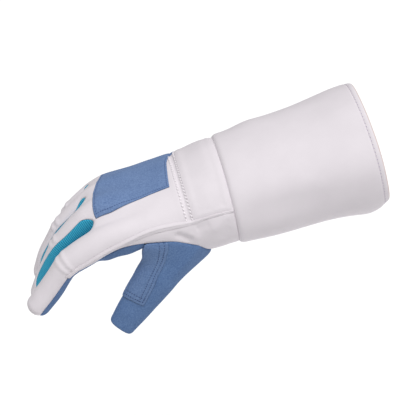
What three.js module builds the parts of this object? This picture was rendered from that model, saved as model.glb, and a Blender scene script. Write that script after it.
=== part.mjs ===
// A right-hand fencing glove with a long gauntlet cuff, in the shape that a hand gives it.
// Millimetres, +Z up. +X runs from the wrist to the open end of the cuff, the back of the hand faces +Z
// and the thumb side faces -Y. The origin is the middle of the wrist, where the hand holds the glove.
//
// The whole hand is one skin of quads: a loop of columns runs round the hand, splits at the webs into four
// finger tubes, and has a hole that the thumb grows out of. Each sewn panel is the part of that skin with
// its label, given its wall inwards, so neighbours share a seam and keep a small gap there.
import * as THREE from "three";

// Sewing
const SEAM_GAP = 0.42; // between two neighbouring pieces
const KNIT_WALL = 2.4; // white foam-backed knit
const SUEDE_WALL = 1.4; // blue microfibre suede
const MESH_WALL = 1.2; // turquoise ribbed knit between the fingers
const CUFF_WALL = 3.2; // the cuff is two layers of the knit
const BINDING_WALL = 1.0;

// The sleeve and the hand, as sections across X
const CUFF_START = 19.7; // seam between wrist and cuff
const CUFF_END = 151.5;
const CUFF_STEP = 1.6; // how far the cuff's folded edge stands proud of the wrist
const CUFF_ROLL = 5; // length of the rounded edges of the cuff
const BINDING_WIDTH = 5;
const BAND_START = -15.8; // elastic band across the back of the wrist
const BAND_WIDTH = 5.4;
const BAND_DIP = 0.9;
const HEEL = -5.4; // where the white heel ends and the blue palm begins
const PATCH_START = -29; // wrist edge of the suede patch on the back
const HAND_LENGTH = 88; // wrist to the index knuckle
const HAND_HALF_WIDTH = 49;
const WRIST_HALF_WIDTH = 52;
const WRIST_HALF_HEIGHT = 41.5;
const RIM_HALF_WIDTH = 59;
const RIM_HALF_HEIGHT = 54;
const SECTION_POWER = 2.25; // 2 is an ellipse, more is squarer

// Where a section lies, as a share of the hand's length or of the cuff's.
const inHand = (share) => -HAND_LENGTH * share;
const inCuff = (share) => CUFF_START + (CUFF_END - CUFF_START) * share;
// A half width in the cuff, as a share of the way from the wrist's to the rim's.
const cuffWide = (share) => WRIST_HALF_WIDTH + (RIM_HALF_WIDTH - WRIST_HALF_WIDTH) * share;
const cuffHigh = (share) => WRIST_HALF_HEIGHT + (RIM_HALF_HEIGHT - WRIST_HALF_HEIGHT) * share;
const [W, H] = [HAND_HALF_WIDTH, WRIST_HALF_HEIGHT];
// Each row is a section. First x and three half sizes: across, over and under the middle. Then lift, the
// height of its middle, and lean, the slope by which its top leans towards the cuff. Last are two angles
// up from the thumb side, in degrees: the side seam's, and the white side strip's lower edge's.
const SECTIONS = [
  [inHand(1.273), W, 0.41 * H, 0.41 * H, 0.361 * H, 0, 6, -2],
  [inHand(0.955), W, 0.482 * H, 0.53 * H, 0.361 * H, 0, 10, -2],
  [inHand(0.682), W, 0.554 * H, 0.651 * H, 0.289 * H, 0.04, 15, -12],
  [inHand(0.409), 1.02 * W, 0.747 * H, 0.795 * H, 0.145 * H, 0.1, 16, -20],
  [inHand(0.182), cuffWide(-0.143), 0.93 * H, 0.964 * H, 0.012 * H, 0.02, 17, -38],
  [inHand(0.034), cuffWide(0), 1.017 * H, 0.964 * H, 0, 0.08, 17, -56],
  [inCuff(-0.089), cuffWide(0), 1.06 * H, 0.976 * H, 0, 0.08, 16, -58],
  [inCuff(-0.005), cuffWide(-0.071), 1.007 * H, 0.988 * H, 0.012 * H, 0.06, 15, -60],
  [inCuff(0.093), cuffWide(0.214), cuffHigh(0.312), cuffHigh(0.184), 0, 0.045, 15, -60],
  [inCuff(0.23), cuffWide(0.429), cuffHigh(0.36), cuffHigh(0.36), 0, 0.03, 15, -60],
  [inCuff(0.586), cuffWide(0.571), cuffHigh(0.52), cuffHigh(0.44), 0, 0, 15, -60],
  [inCuff(0.867), cuffWide(0.929), cuffHigh(0.92), cuffHigh(0.84), 0, 0, 15, -60],
  [inCuff(1.064), cuffWide(1), cuffHigh(1), cuffHigh(0.92), 0, 0, 15, -60],
];
const SECTION_KEYS = ["x", "wide", "over", "under", "lift", "lean", "ridge", "edge"];

// The fingers, from the thumb side outwards. at: the knuckle, as shares of the hand's length, its half
// width and the wrist's half height. bend: slope of each phalanx below level, in degrees. bones: lengths
// of the phalanges to the end of the cloth, as shares of FINGER_LENGTH. radii: at its root and tip, as
// shares of FINGER_RADIUS. strip: how far up its thumb side the turquoise strip reaches at the knuckle,
// and how much farther at the tip, as shares of GUSSET_BACK_ANGLE.
const FINGER_LENGTH = 109; // the middle finger's
const FINGER_RADIUS = 12.6; // the index finger's, at its root
const PALM_SLOPE = -3;
const GUSSET_BACK_ANGLE = 58; // of the turquoise strips above a finger's far side line
const GUSSET_NEAR_ANGLE = 54; // and above its thumb side line, beyond the knuckle
const FINGER_ROWS = [
  {
    name: "index",
    at: [1, -0.776, 0.386],
    bend: [18, 43, 39],
    bones: [0.385, 0.284, 0.266],
    radii: [1, 0.81],
    strip: [0, 0],
  },
  {
    name: "middle",
    at: [1.045, -0.255, 0.663],
    bend: [33, 51, 55],
    bones: [0.413, 0.312, 0.275],
    radii: [0.96, 0.83],
    strip: [0.95, 0.45],
  },
  {
    name: "ring",
    at: [1.023, 0.245, 0.59],
    bend: [31, 48, 59],
    bones: [0.385, 0.294, 0.266],
    radii: [0.937, 0.841],
    strip: [1.52, 0.14],
  },
  {
    name: "little",
    at: [0.977, 0.714, 0.398],
    bend: [29, 54, 71],
    bones: [0.321, 0.229, 0.22],
    radii: [0.873, 0.778],
    strip: [2.03, 0],
  },
];
const FINGERS = FINGER_ROWS.map((row) => ({
  name: row.name,
  at: [inHand(row.at[0]), HAND_HALF_WIDTH * row.at[1], WRIST_HALF_HEIGHT * row.at[2]],
  bend: row.bend,
  bones: row.bones.map((share) => FINGER_LENGTH * share),
  root: FINGER_RADIUS * row.radii[0],
  tip: FINGER_RADIUS * row.radii[1],
  strip: row.strip.map((share) => GUSSET_BACK_ANGLE * share),
}));
const WEB = 3; // from a knuckle to where two fingers part, on the back
const WEB_SLANT = 21; // how much farther the web reaches on the palm
const WEB_ROUND = 9; // length over which two fingers part
const ROOT_LENGTH = 21; // of a finger's thick end
const ROOT_TAPER = 40; // length over which it then gets thinner
const BEND_LENGTHS = [32, 24, 20]; // along the finger, that each joint's bend takes
const SEAM_DROP = 3.5; // how far the side seams of a finger lie under its middle
const PALM_FULLNESS = 0.28; // how much thicker the outer phalanges are on the palm's side, as a share
const SIDE_STRIP_END = 8.5; // how far it reaches beyond the index finger's middle joint
const SIDE_STRIP_ANGLE = 31; // of the white strip under the index finger's seam
const GUSSET_PALM_ANGLE = 40; // of the turquoise strips below the side line
const GUSSET_TAPER = 18; // length over which it narrows to the fingertip
const TIP_TURN = 100; // how far the back panel wraps over a fingertip, in degrees
const RIB_HEIGHT = 1; // two raised ribs across each middle joint
const RIB_WIDTH = 4.6;
const RIB_PITCH = 5.8;
const PALM_PAD = 13; // how far the pads before the fingers hang below the palm
const WELT_HALF_WIDTH = 2.2; // of the raised seam along the thumb side
const WELT_HEIGHT = 1.2;

// The thumb
const THUMB_START = [-62, -44, -36]; // middle of the thumb where its straight part starts
const THUMB_TIP = [-105.5, -50, -72.5];
const THUMB_HALF_WIDTH = 18;
const THUMB_TIP_HALF_WIDTH = 11.5;
const THUMB_HALF_THICKNESS = 11;
const THUMB_TIP_HALF_THICKNESS = 6.5;
const THUMB_BLUNT = 5; // length of the rounded end
const THUMB_FACE = [0, -0.8, 0.6]; // where its broad face looks
const THUMB_CORNER = 40; // half the angle that each of its narrow edges takes
const THUMB_ROOT_LIFT = 0.7; // how much of its way out of the hand is straight off the surface
const THUMB_ROOT_PULL = 26; // how stiffly the cloth leaves the hand, and enters the thumb
const THUMB_END_PULL = 42;

const HAND_FREE = 0.15; // share of the hand, from the wrist, that doesn't yet follow the fingers

// How finely the skin is divided
const BACK_COLUMNS = 5; // for each finger
const PALM_COLUMNS = 4;
const STRIP_COLUMNS = 3;
const HAND_ROWS = 7; // between the patch's wrist edge and the webs
const TIP_ROWS = 3;
const THUMB_HOLE_COLUMNS = 5; // of the palm
const THUMB_HOLE_ROWS = 3; // of the hand, beyond the sleeve's
const THUMB_ROOT_ROWS = 4;
const THUMB_ROWS = 4;
const SLEEVE_COLUMNS = 44;

// Which rows and columns of the skin the two patches cover
const PATCH_ROWS = [7, 13];
const PATCH_COLUMNS = [5, 17];
const THUMB_PATCH_ROWS = [0, 6];
const THUMB_PATCH_COLUMNS = [8, 12];

const RADIANS = Math.PI / 180;
const vec = (x, y, z) => new THREE.Vector3(x, y, z);
const mix = (a, b, t) => a + (b - a) * t;
const smooth = (t) => {
  const c = Math.min(1, Math.max(0, t));
  return c * c * (3 - 2 * c);
};

// The sections' values at x, between the table's rows.
function sectionAt(x) {
  let k = 0;
  while (k < SECTIONS.length - 2 && x > SECTIONS[k + 1][0]) k++;
  const [low, high] = [SECTIONS[k], SECTIONS[k + 1]];
  const t = Math.min(1, Math.max(0, (x - low[0]) / (high[0] - low[0])));
  const found = {};
  SECTION_KEYS.forEach((key, n) => {
    found[key] = mix(low[n], high[n], t);
  });
  return found;
}

// A point of the sleeve or hand. turn is an angle from the thumb side (0) over the back (90) and the
// little finger's side (180) to the palm (270); out moves it off the surface.
function sleevePoint(x, turn, out = 0) {
  const s = sectionAt(x);
  const c = Math.cos(turn * RADIANS);
  const n = Math.sin(turn * RADIANS);
  const across = Math.sign(c) * Math.abs(c) ** (2 / SECTION_POWER);
  const upward = Math.sign(n) * Math.abs(n) ** (2 / SECTION_POWER);
  const height = ((n > 0 ? s.over : s.under) + out) * upward;
  return vec(x + s.lean * height, -(s.wide + out) * across, s.lift + height);
}

// The line through a finger and its bone in the hand: its centre, direction and back side at each length.
function spineOf(finger) {
  const total = finger.bones.reduce((a, b) => a + b);
  const joints = [0, finger.bones[0], finger.bones[0] + finger.bones[1]];
  const slopes = [PALM_SLOPE, ...finger.bend];
  const slopeAt = (s) => {
    let slope = slopes[0];
    joints.forEach((at, j) => {
      slope += (slopes[j + 1] - slopes[j]) * smooth((s - at) / BEND_LENGTHS[j] + 0.5);
    });
    return slope * RADIANS;
  };
  const step = 1;
  const walk = (from, to) => {
    const points = [from.clone()];
    const way = Math.sign(to);
    for (let s = 0; s < Math.abs(to); s += step) {
      const slope = slopeAt(way * (s + step / 2));
      const last = points[points.length - 1];
      points.push(last.clone().add(vec(-Math.cos(slope), 0, -Math.sin(slope)).multiplyScalar(way * step)));
    }
    return points;
  };
  const knuckle = vec(...finger.at);
  const ahead = walk(knuckle, total + 1);
  const behind = walk(knuckle, -160);
  const centreAt = (s) => {
    const list = s < 0 ? behind : ahead;
    const k = Math.min(list.length - 2, Math.floor(Math.abs(s) / step));
    return list[k].clone().lerp(list[k + 1], Math.abs(s) / step - k);
  };
  return {
    total,
    at: (s) => {
      const slope = slopeAt(s);
      return {
        centre: centreAt(s),
        along: vec(-Math.cos(slope), 0, -Math.sin(slope)),
        back: vec(-Math.sin(slope), 0, Math.cos(slope)),
      };
    },
    // The same line by its x, for the stretch inside the hand.
    atX: (x) => {
      const from = knuckle.x;
      let s = from - x;
      for (let k = 0; k < 6; k++) s += centreAt(s).x - x;
      return centreAt(s);
    },
  };
}
FINGERS.forEach((finger) => {
  finger.spine = spineOf(finger);
  finger.end = finger.spine.total - finger.tip; // where the rounded tip starts
});

const THUMB_SIDE = vec(0, -1, 0);

// A finger's surface as seen from its seam line. tip is the turn of the row about the seam line: 0 on the
// finger, and up to 180 round the rounded end. turn is 0 at the thumb side's seam, 180 at the other one.
function fingerPoint(finger, s, turn, tip = 0) {
  const { centre, along, back } = finger.spine.at(s);
  const radius = mix(finger.root, finger.tip, smooth((s - ROOT_LENGTH) / ROOT_TAPER));
  const c = Math.cos(turn * RADIANS);
  const n = Math.sin(turn * RADIANS);
  const side = back.clone().multiplyScalar(Math.cos(tip * RADIANS));
  side.addScaledVector(along, Math.sin(tip * RADIANS));
  const sink = SEAM_DROP * Math.cos(tip * RADIANS) * n;
  const palmward = Math.max(0, -Math.cos(tip * RADIANS) * n);
  const full = 1 + PALM_FULLNESS * palmward * smooth((s - finger.bones[0] - RIB_PITCH) / ROOT_LENGTH);
  const reach = (sink + Math.sqrt(sink * sink + radius * radius - SEAM_DROP * SEAM_DROP)) * full;
  const ribs = (offset) => Math.exp(-(((s - finger.bones[0] - offset) / (RIB_WIDTH / 2.6)) ** 2));
  const white = stripAngles(finger, s);
  const inside = smooth((turn - white.thumbSideUp) / 20) * smooth((180 - white.farSideUp - turn) / 20);
  const rib = tip === 0 ? RIB_HEIGHT * (ribs(-RIB_PITCH / 2) + ribs(RIB_PITCH / 2)) * inside : 0;
  return centre
    .addScaledVector(back, -SEAM_DROP)
    .addScaledVector(THUMB_SIDE, (reach + rib) * c)
    .addScaledVector(side, (reach + rib) * n);
}

// Lengths along a finger where its rows of quads lie: close together at the ribs.
function fingerRows(finger) {
  const joint = finger.bones[0];
  const wave = RIB_PITCH / 2;
  const ribRows = [-3, -2, -1, 0, 1, 2, 3].map((k) => joint + k * wave);
  const last = ribRows[ribRows.length - 1];
  const before = [0, 0.2, 0.45, 0.72].map((t) => mix(WEB, ribRows[0], t));
  const after = [0.28, 0.54, 0.79, 1].map((t) => mix(last, finger.end, t));
  return [...before, ...ribRows, ...after];
}

// How wide the strips beside the back panel are at a length along the finger, in degrees off the side line.
function stripAngles(finger, s) {
  const i = FINGERS.indexOf(finger);
  const first = i === 0;
  const last = i === FINGERS.length - 1;
  const left = Math.min(1, Math.max(0, (finger.end - s) / GUSSET_TAPER));
  const taper = Math.sqrt(1 - (1 - left) ** 2);
  const joint = finger.bones[0];
  const narrowed = 1 - 0.5 * smooth((s - ROOT_LENGTH) / (joint - ROOT_LENGTH));
  const sideTaper = s < joint + SIDE_STRIP_END ? narrowed : 0;
  const flare = finger.strip[1] * smooth(s / joint - 0.6);
  const strip = mix(finger.strip[0], GUSSET_NEAR_ANGLE, smooth(s / ROOT_LENGTH)) + flare;
  return {
    thumbSideUp: first ? 0 : strip * taper,
    thumbSideDown: first ? SIDE_STRIP_ANGLE * sideTaper : GUSSET_PALM_ANGLE * taper,
    farSideUp: last ? 0 : GUSSET_BACK_ANGLE * taper,
    farSideDown: last ? 0 : GUSSET_PALM_ANGLE * taper,
  };
}

// A row of a finger slants: it starts nearer to the knuckle on the back (0) than on the palm (1).
function slantShare(i, band, t) {
  const first = i === 0;
  const last = i === FINGERS.length - 1;
  if (band === "near") return first ? mix(0.65, 0.35, t) : 1 - t;
  if (band === "far") return t;
  const [near, far] = [first ? 0.35 : 0, last ? 0.5 : 0];
  if (band === "back") return near * smooth(1 - 2 * t) + far * smooth(2 * t - 1);
  return 1 - near * smooth(2 * t - 1) - far * smooth(1 - 2 * t);
}
function slanted(finger, s, share) {
  const free = finger.bones[0] - 1.5 * RIB_PITCH;
  return s < free ? s + WEB_SLANT * share * ((free - s) / (free - WEB)) : s;
}

// The skin: shared vertices by key, and quads or triangles with a label.
const vertices = [];
const keys = new Map();
const faces = [];
function vertex(key, make) {
  if (!keys.has(key)) {
    const made = make();
    keys.set(key, vertices.length);
    vertices.push(made);
  }
  return keys.get(key);
}
function face(label, ...corners) {
  const ring = corners.filter((v, k) => v !== corners[(k + 1) % corners.length]);
  if (ring.length > 2) faces.push({ label, ring, tag: "" });
  return faces[faces.length - 1];
}

const LAST = FINGERS.length - 1;
const gussetName = (i) => `gusset_${FINGERS[i].name}_${FINGERS[i + 1].name}`;

// The angle round finger i of a back, far-strip, palm or near-strip column at length s.
function columnTurn(finger, s, band, share) {
  const a = stripAngles(finger, s);
  const stops = {
    back: [a.thumbSideUp, 180 - a.farSideUp],
    far: [180 - a.farSideUp, 180 + a.farSideDown],
    palm: [180 + a.farSideDown, 360 - a.thumbSideDown],
    near: [360 - a.thumbSideDown, 360 + a.thumbSideUp],
  }[band];
  return mix(stops[0], stops[1], share);
}

// Where two neighbouring fingers meet: midway between their facing sides, from back (0) to palm (1).
function webPoint(i, share) {
  const side = (finger, band, t) => {
    const s = slanted(finger, WEB, share);
    return fingerPoint(finger, s, columnTurn(finger, s, band, t));
  };
  return side(FINGERS[i], "far", share).lerp(side(FINGERS[i + 1], "near", 1 - share), 0.5);
}

function fingerVertex(i, row, s, band, k) {
  const finger = FINGERS[i];
  const count = { back: BACK_COLUMNS, far: STRIP_COLUMNS, palm: PALM_COLUMNS, near: STRIP_COLUMNS }[band];
  const next = { back: "far", far: "palm", palm: "near", near: "back" }[band];
  if (k === count) return fingerVertex(i, row, s, next, 0);
  const stripEnded = i === 0 && band === "near" && stripAngles(finger, s).thumbSideDown < 1;
  if (stripEnded) return fingerVertex(i, row, s, "back", 0);
  if (i === LAST && band === "far") return fingerVertex(i, row, s, "palm", 0);
  const onFarSide = i < LAST && (band === "far" || (band === "palm" && k === 0));
  const onNearSide = i > 0 && (band === "near" || (band === "back" && k === 0));
  const share = slantShare(i, band, k / count);
  if (row === 0 && (onFarSide || onNearSide)) {
    const web = onFarSide ? i : i - 1;
    return vertex(`web ${web} ${share.toFixed(3)}`, () => webPoint(web, share));
  }
  const own = slanted(finger, s, share);
  const turn = columnTurn(finger, own, band, k / count);
  const atTip = s >= finger.end;
  if (atTip && (onFarSide || (i === LAST && band === "palm" && k === 0)))
    return vertex(`pole far ${i}`, () => fingerPoint(finger, s, 180));
  if (atTip && (band === "near" || (band === "back" && k === 0)))
    return vertex(`pole near ${i}`, () => fingerPoint(finger, s, 0));
  return vertex(`finger ${i} ${row} ${band} ${k}`, () => {
    const free = fingerPoint(finger, own, turn);
    if (!onFarSide && !onNearSide) return free;
    const start = slanted(finger, WEB, share);
    const way = free.clone().sub(fingerPoint(finger, start, turn));
    const apart = Math.sqrt(smooth((own - start) / WEB_ROUND));
    return webPoint(onFarSide ? i : i - 1, share).add(way).lerp(free, apart);
  });
}

function addFinger(i) {
  const finger = FINGERS[i];
  const rows = fingerRows(finger);
  const strip = (band, count, label) => {
    for (let row = 0; row + 1 < rows.length; row++)
      for (let k = 0; k < count; k++) {
        const corner = (r, c) => fingerVertex(i, r, rows[r], band, c);
        face(label, corner(row, k), corner(row, k + 1), corner(row + 1, k + 1), corner(row + 1, k));
      }
  };
  strip("back", BACK_COLUMNS, "back_panel");
  strip("palm", PALM_COLUMNS, "palm_panel");
  if (i < LAST) strip("far", STRIP_COLUMNS, gussetName(i));
  strip("near", STRIP_COLUMNS, i === 0 ? "side_panel" : gussetName(i - 1));

  // The rounded tip: rows turn about the seam line, from the back and from the palm, and meet in one seam.
  const tipVertex = (side, turnRow, k, count) => {
    const last = rows.length - 1;
    if (turnRow === 0) return fingerVertex(i, last, rows[last], side, k);
    const fromThumb = side === "back" ? k : count - k;
    if (fromThumb === 0) return vertex(`pole near ${i}`, () => fingerPoint(finger, finger.end, 0));
    if (fromThumb === count) return vertex(`pole far ${i}`, () => fingerPoint(finger, finger.end, 180));
    const whole = side === "back" ? TIP_TURN : 180 - TIP_TURN;
    const turned = (whole * turnRow) / TIP_ROWS;
    const tip = side === "back" ? turned : 180 - turned;
    // Both sides meet in the back's columns, so the palm's last row borrows its vertices.
    if (side === "palm" && turnRow === TIP_ROWS) {
      const backColumn = Math.round((fromThumb / count) * BACK_COLUMNS);
      return tipVertex("back", TIP_ROWS, backColumn, BACK_COLUMNS);
    }
    return vertex(`tip ${i} ${side} ${turnRow} ${k}`, () =>
      fingerPoint(finger, finger.end, 180 * (fromThumb / count), tip),
    );
  };
  for (const [side, count] of [["back", BACK_COLUMNS], ["palm", PALM_COLUMNS]])
    for (let row = 0; row < TIP_ROWS; row++)
      for (let k = 0; k < count; k++)
        face(
          `${side}_panel`,
          tipVertex(side, row, k, count),
          tipVertex(side, row, k + 1, count),
          tipVertex(side, row + 1, k + 1, count),
          tipVertex(side, row + 1, k, count),
        );
}

// The loop of columns round the hand: from the side seam over the backs, the far side and the palms to the
// white strip under the side seam.
const LOOP = [];
const BACK_COUNT = FINGERS.length * BACK_COLUMNS;
const PALM_COUNT = FINGERS.length * PALM_COLUMNS;
FINGERS.forEach((_, i) => {
  for (let k = 0; k < BACK_COLUMNS; k++) LOOP.push({ i, band: "back", k });
});
for (let i = LAST; i >= 0; i--) for (let k = 0; k < PALM_COLUMNS; k++) LOOP.push({ i, band: "palm", k });
for (let k = 0; k < STRIP_COLUMNS; k++) LOOP.push({ i: 0, band: "near", k });

function loopTurn(n, x) {
  const s = sectionAt(x);
  if (n < BACK_COUNT) return mix(s.ridge, 180, n / BACK_COUNT);
  if (n < BACK_COUNT + PALM_COUNT) return mix(180, 360 + s.edge, (n - BACK_COUNT) / PALM_COUNT);
  return mix(360 + s.edge, 360 + s.ridge, (n - BACK_COUNT - PALM_COUNT) / STRIP_COLUMNS);
}

// Rows across X, from the cuff's seam to the patch's wrist edge. dip: how far the back is drawn in there.
const SLEEVE_ROWS = [
  { x: CUFF_START - SEAM_GAP / 2, dip: 0 },
  { x: mix(CUFF_START, HEEL, 0.35), dip: 0 },
  { x: mix(CUFF_START, HEEL, 0.7), dip: 0 },
  { x: HEEL, dip: 0 },
  { x: BAND_START, dip: 0 },
  { x: BAND_START - BAND_WIDTH / 2, dip: BAND_DIP },
  { x: BAND_START - BAND_WIDTH, dip: 0 },
  { x: PATCH_START, dip: 0 },
];
const HEEL_ROW = 3;
const BAND_ROWS = [4, 6];
const HAND_START = SLEEVE_ROWS.length - 1;
const WEB_ROW = HAND_START + HAND_ROWS;

// The finger that shares this column's line: the neighbour on a line between two fingers, else itself.
function besideFinger(i, band, k) {
  if (k > 0) return i;
  if (band === "back" && i > 0) return i - 1;
  return band === "palm" && i < LAST ? i + 1 : i;
}

function handVertex(row, column) {
  const n = column % LOOP.length;
  const { i, band, k } = LOOP[n];
  if (row === WEB_ROW) return fingerVertex(i, 0, WEB, band, k);
  if (row <= HAND_START) {
    const { x, dip } = SLEEVE_ROWS[row];
    const drawn = n > 0 && n < BACK_COUNT ? dip : 0;
    return vertex(`sleeve ${row} ${n}`, () => sleevePoint(x, loopTurn(n, x), -drawn));
  }
  return vertex(`sleeve ${row} ${n}`, () => {
    const web = vertices[fingerVertex(i, 0, WEB, band, k)];
    const t = (row - HAND_START) / HAND_ROWS;
    const x = mix(PATCH_START, web.x, t);
    const beside = besideFinger(i, band, k);
    const move = (f) => f.spine.atX(x).sub(f.spine.atX(web.x));
    const onFinger = move(FINGERS[i]).lerp(move(FINGERS[beside]), 0.5).add(web);
    const own = sleevePoint(x, loopTurn(n, x)).lerp(onFinger, smooth((t - HAND_FREE) / (1 - HAND_FREE)));
    const across = Math.min(1, Math.max(0, (n - BACK_COUNT) / PALM_COUNT));
    const lengthwise = smooth((t - 0.35) / 0.3) * (1 - smooth((t - 0.82) / 0.18));
    const pad = lengthwise * Math.sqrt(Math.sin(Math.PI * across));
    return own.add(vec(0, 0, -PALM_PAD * pad));
  });
}

function handLabel(row, n) {
  if (n < BACK_COUNT) {
    if (row < BAND_ROWS[0]) return "wrist_back";
    return row < BAND_ROWS[1] ? "wrist_band" : "back_panel";
  }
  return n >= BACK_COUNT + PALM_COUNT || row < HEEL_ROW ? "side_panel" : "palm_panel";
}

const HOLE = {
  rows: [HEEL_ROW, HAND_START + THUMB_HOLE_ROWS],
  columns: [BACK_COUNT + PALM_COUNT - THUMB_HOLE_COLUMNS, BACK_COUNT + PALM_COUNT],
};
const within = (value, [low, high]) => value >= low && value < high;

function addHand() {
  for (let row = 0; row < WEB_ROW; row++)
    for (let n = 0; n < LOOP.length; n++) {
      if (within(row, HOLE.rows) && within(n, HOLE.columns)) continue;
      const nearer = [handVertex(row, n), handVertex(row, n + 1)];
      const farther = [handVertex(row + 1, n + 1), handVertex(row + 1, n)];
      const made = face(handLabel(row, n), ...nearer, ...farther);
      if (within(row, PATCH_ROWS) && within(n, PATCH_COLUMNS)) made.tag = "back_patch";
    }
}

// The thumb: a flattened tube from the hole's edge, with a blunt end. Its broad face looks outwards.
function addThumb() {
  const [near, far] = HOLE.rows;
  const [low, high] = HOLE.columns;
  const edge = [];
  for (let n = low; n < high; n++) edge.push([near, n]);
  for (let row = near; row < far; row++) edge.push([row, high]);
  for (let n = high; n > low; n--) edge.push([far, n]);
  for (let row = far; row > near; row--) edge.push([row, low]);
  const across = high - low;
  const length = far - near;
  const corner = THUMB_CORNER;
  const turns = edge.map((_, m) => {
    if (m < across) return mix(-corner, corner, m / across);
    if (m < across + length) return mix(corner, 180 - corner, (m - across) / length);
    if (m < 2 * across + length) return mix(180 - corner, 180 + corner, (m - across - length) / across);
    return mix(180 + corner, 360 - corner, (m - 2 * across - length) / length);
  });
  const rim = edge.map(([row, n]) => vertices[handVertex(row, n)]);
  const root = rim.reduce((sum, p) => sum.add(p), vec(0, 0, 0)).divideScalar(rim.length);
  const off = vec(0, root.y, root.z - sectionAt(root.x).lift).normalize();
  const tip = vec(...THUMB_TIP);
  const start = vec(...THUMB_START);
  const along = tip.clone().sub(start).normalize();
  const wide = vec(...THUMB_FACE).cross(along).normalize();
  const thick = along.clone().cross(wide).normalize();
  const straight = tip.distanceTo(start);
  const ringPoint = (share, scale, turn) => {
    const w = mix(THUMB_HALF_WIDTH, THUMB_TIP_HALF_WIDTH, share) * scale;
    const h = mix(THUMB_HALF_THICKNESS, THUMB_TIP_HALF_THICKNESS, share) * scale;
    const c = Math.cos(turn * RADIANS);
    const n = Math.sin(turn * RADIANS);
    const power = 2 / SECTION_POWER;
    return start
      .clone()
      .addScaledVector(along, straight * share)
      .addScaledVector(wide, w * Math.sign(c) * Math.abs(c) ** power)
      .addScaledVector(thick, h * Math.sign(n) * Math.abs(n) ** power);
  };
  const blunt = THUMB_BLUNT / straight;
  const rings = [];
  for (let k = 0; k <= THUMB_ROWS; k++) rings.push([mix(0, 1 - blunt, k / THUMB_ROWS), 1]);
  rings.push([1 - blunt * 0.2, 0.94], [1, 0.72]);
  const lastRow = THUMB_ROOT_ROWS + rings.length - 1;
  const thumbVertex = (row, m) => {
    const column = m % edge.length;
    if (row === 0) return handVertex(...edge[column]);
    if (row > lastRow) return vertex("thumb end", () => ringPoint(1, 0, 0));
    return vertex(`thumb ${row} ${column}`, () => {
      if (row >= THUMB_ROOT_ROWS) return ringPoint(...rings[row - THUMB_ROOT_ROWS], turns[column]);
      const t = row / THUMB_ROOT_ROWS;
      const from = rim[column];
      const to = ringPoint(0, 1, turns[column]);
      const out = along.clone().addScaledVector(off, THUMB_ROOT_LIFT).normalize();
      const [t2, t3] = [t * t, t * t * t];
      return vec(0, 0, 0)
        .addScaledVector(from, 2 * t3 - 3 * t2 + 1)
        .addScaledVector(out, (t3 - 2 * t2 + t) * THUMB_ROOT_PULL)
        .addScaledVector(to, 3 * t2 - 2 * t3)
        .addScaledVector(along, (t3 - t2) * THUMB_END_PULL);
    });
  };
  for (let row = 0; row <= lastRow; row++)
    for (let m = 0; m < edge.length; m++) {
      const nearer = [thumbVertex(row, m), thumbVertex(row, m + 1)];
      const farther = [thumbVertex(row + 1, m + 1), thumbVertex(row + 1, m)];
      const made = face("thumb", ...nearer, ...farther);
      if (within(row, THUMB_PATCH_ROWS) && within(m, THUMB_PATCH_COLUMNS)) made.tag = "thumb_patch";
    }
}

addHand();
FINGERS.forEach((_, i) => addFinger(i));
addThumb();

// Directions out of the skin at its vertices.
const normals = vertices.map(() => vec(0, 0, 0));
faces.forEach(({ ring }) => {
  const [a, b, c, d] = [...ring, ring[2]].map((v) => vertices[v]);
  const normal = c.clone().sub(a).cross(d === c ? c.clone().sub(b) : d.clone().sub(b));
  if (d === c) normal.negate();
  const size = b.clone().sub(a).cross(c.clone().sub(a));
  if (normal.dot(size) < 0) normal.negate();
  ring.forEach((v) => normals[v].add(normal));
});
normals.forEach((n) => n.normalize());

// A closed sheet of some of the skin's faces, between two distances off the skin, drawn back at its edge.
function sheet(chosen, low, high) {
  const used = new Set();
  chosen.forEach(({ ring }) => ring.forEach((v, k) => used.add(`${v} ${ring[(k + 1) % ring.length]}`)));
  const inset = new Map();
  const edges = [];
  chosen.forEach(({ ring }) => {
    const middle = ring.reduce((sum, v) => sum.add(vertices[v]), vec(0, 0, 0)).divideScalar(ring.length);
    ring.forEach((v, k) => {
      const next = ring[(k + 1) % ring.length];
      if (used.has(`${next} ${v}`)) return;
      edges.push([v, next]);
      const line = vertices[next].clone().sub(vertices[v]).normalize();
      const inward = middle.clone().sub(vertices[v]);
      inward.addScaledVector(line, -inward.dot(line)).normalize();
      for (const end of [v, next]) inset.set(end, [...(inset.get(end) ?? []), inward]);
    });
  });
  const positions = [];
  const numbers = new Map();
  const place = (v, level) => {
    const key = `${v} ${level}`;
    if (!numbers.has(key)) {
      numbers.set(key, positions.length / 3);
      const point = vertices[v].clone().addScaledVector(normals[v], level);
      const ways = inset.get(v);
      if (ways) {
        const way = ways.reduce((sum, w) => sum.add(w), vec(0, 0, 0)).normalize();
        point.addScaledVector(way, SEAM_GAP / 2 / Math.max(0.15, way.dot(ways[0])));
      }
      positions.push(point.x, point.y, point.z);
    }
    return numbers.get(key);
  };
  const index = [];
  chosen.forEach(({ ring }) => {
    const [a, b, c, d] = ring;
    const length = (p, q) => vertices[p].distanceTo(vertices[q]);
    let triangles = [[a, b, c]];
    if (d !== undefined && length(a, c) > length(b, d)) triangles = [[a, b, d], [b, c, d]];
    else if (d !== undefined) triangles = [[a, b, c], [a, c, d]];
    for (const [p, q, r] of triangles) {
      index.push(place(p, high), place(q, high), place(r, high));
      index.push(place(r, low), place(q, low), place(p, low));
    }
  });
  // Both sheets at a seam split its side faces along the same diagonal.
  for (const [p, q] of edges) {
    const four = [place(p, high), place(p, low), place(q, low), place(q, high)];
    if (p > q) four.push(four.shift());
    index.push(four[0], four[1], four[2], four[0], four[2], four[3]);
  }
  const geometry = new THREE.BufferGeometry();
  geometry.setAttribute("position", new THREE.Float32BufferAttribute(positions, 3));
  geometry.setIndex(index);
  return geometry;
}
const panel = (label, wall) => sheet(faces.filter((f) => f.label === label), -wall, 0);
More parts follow.
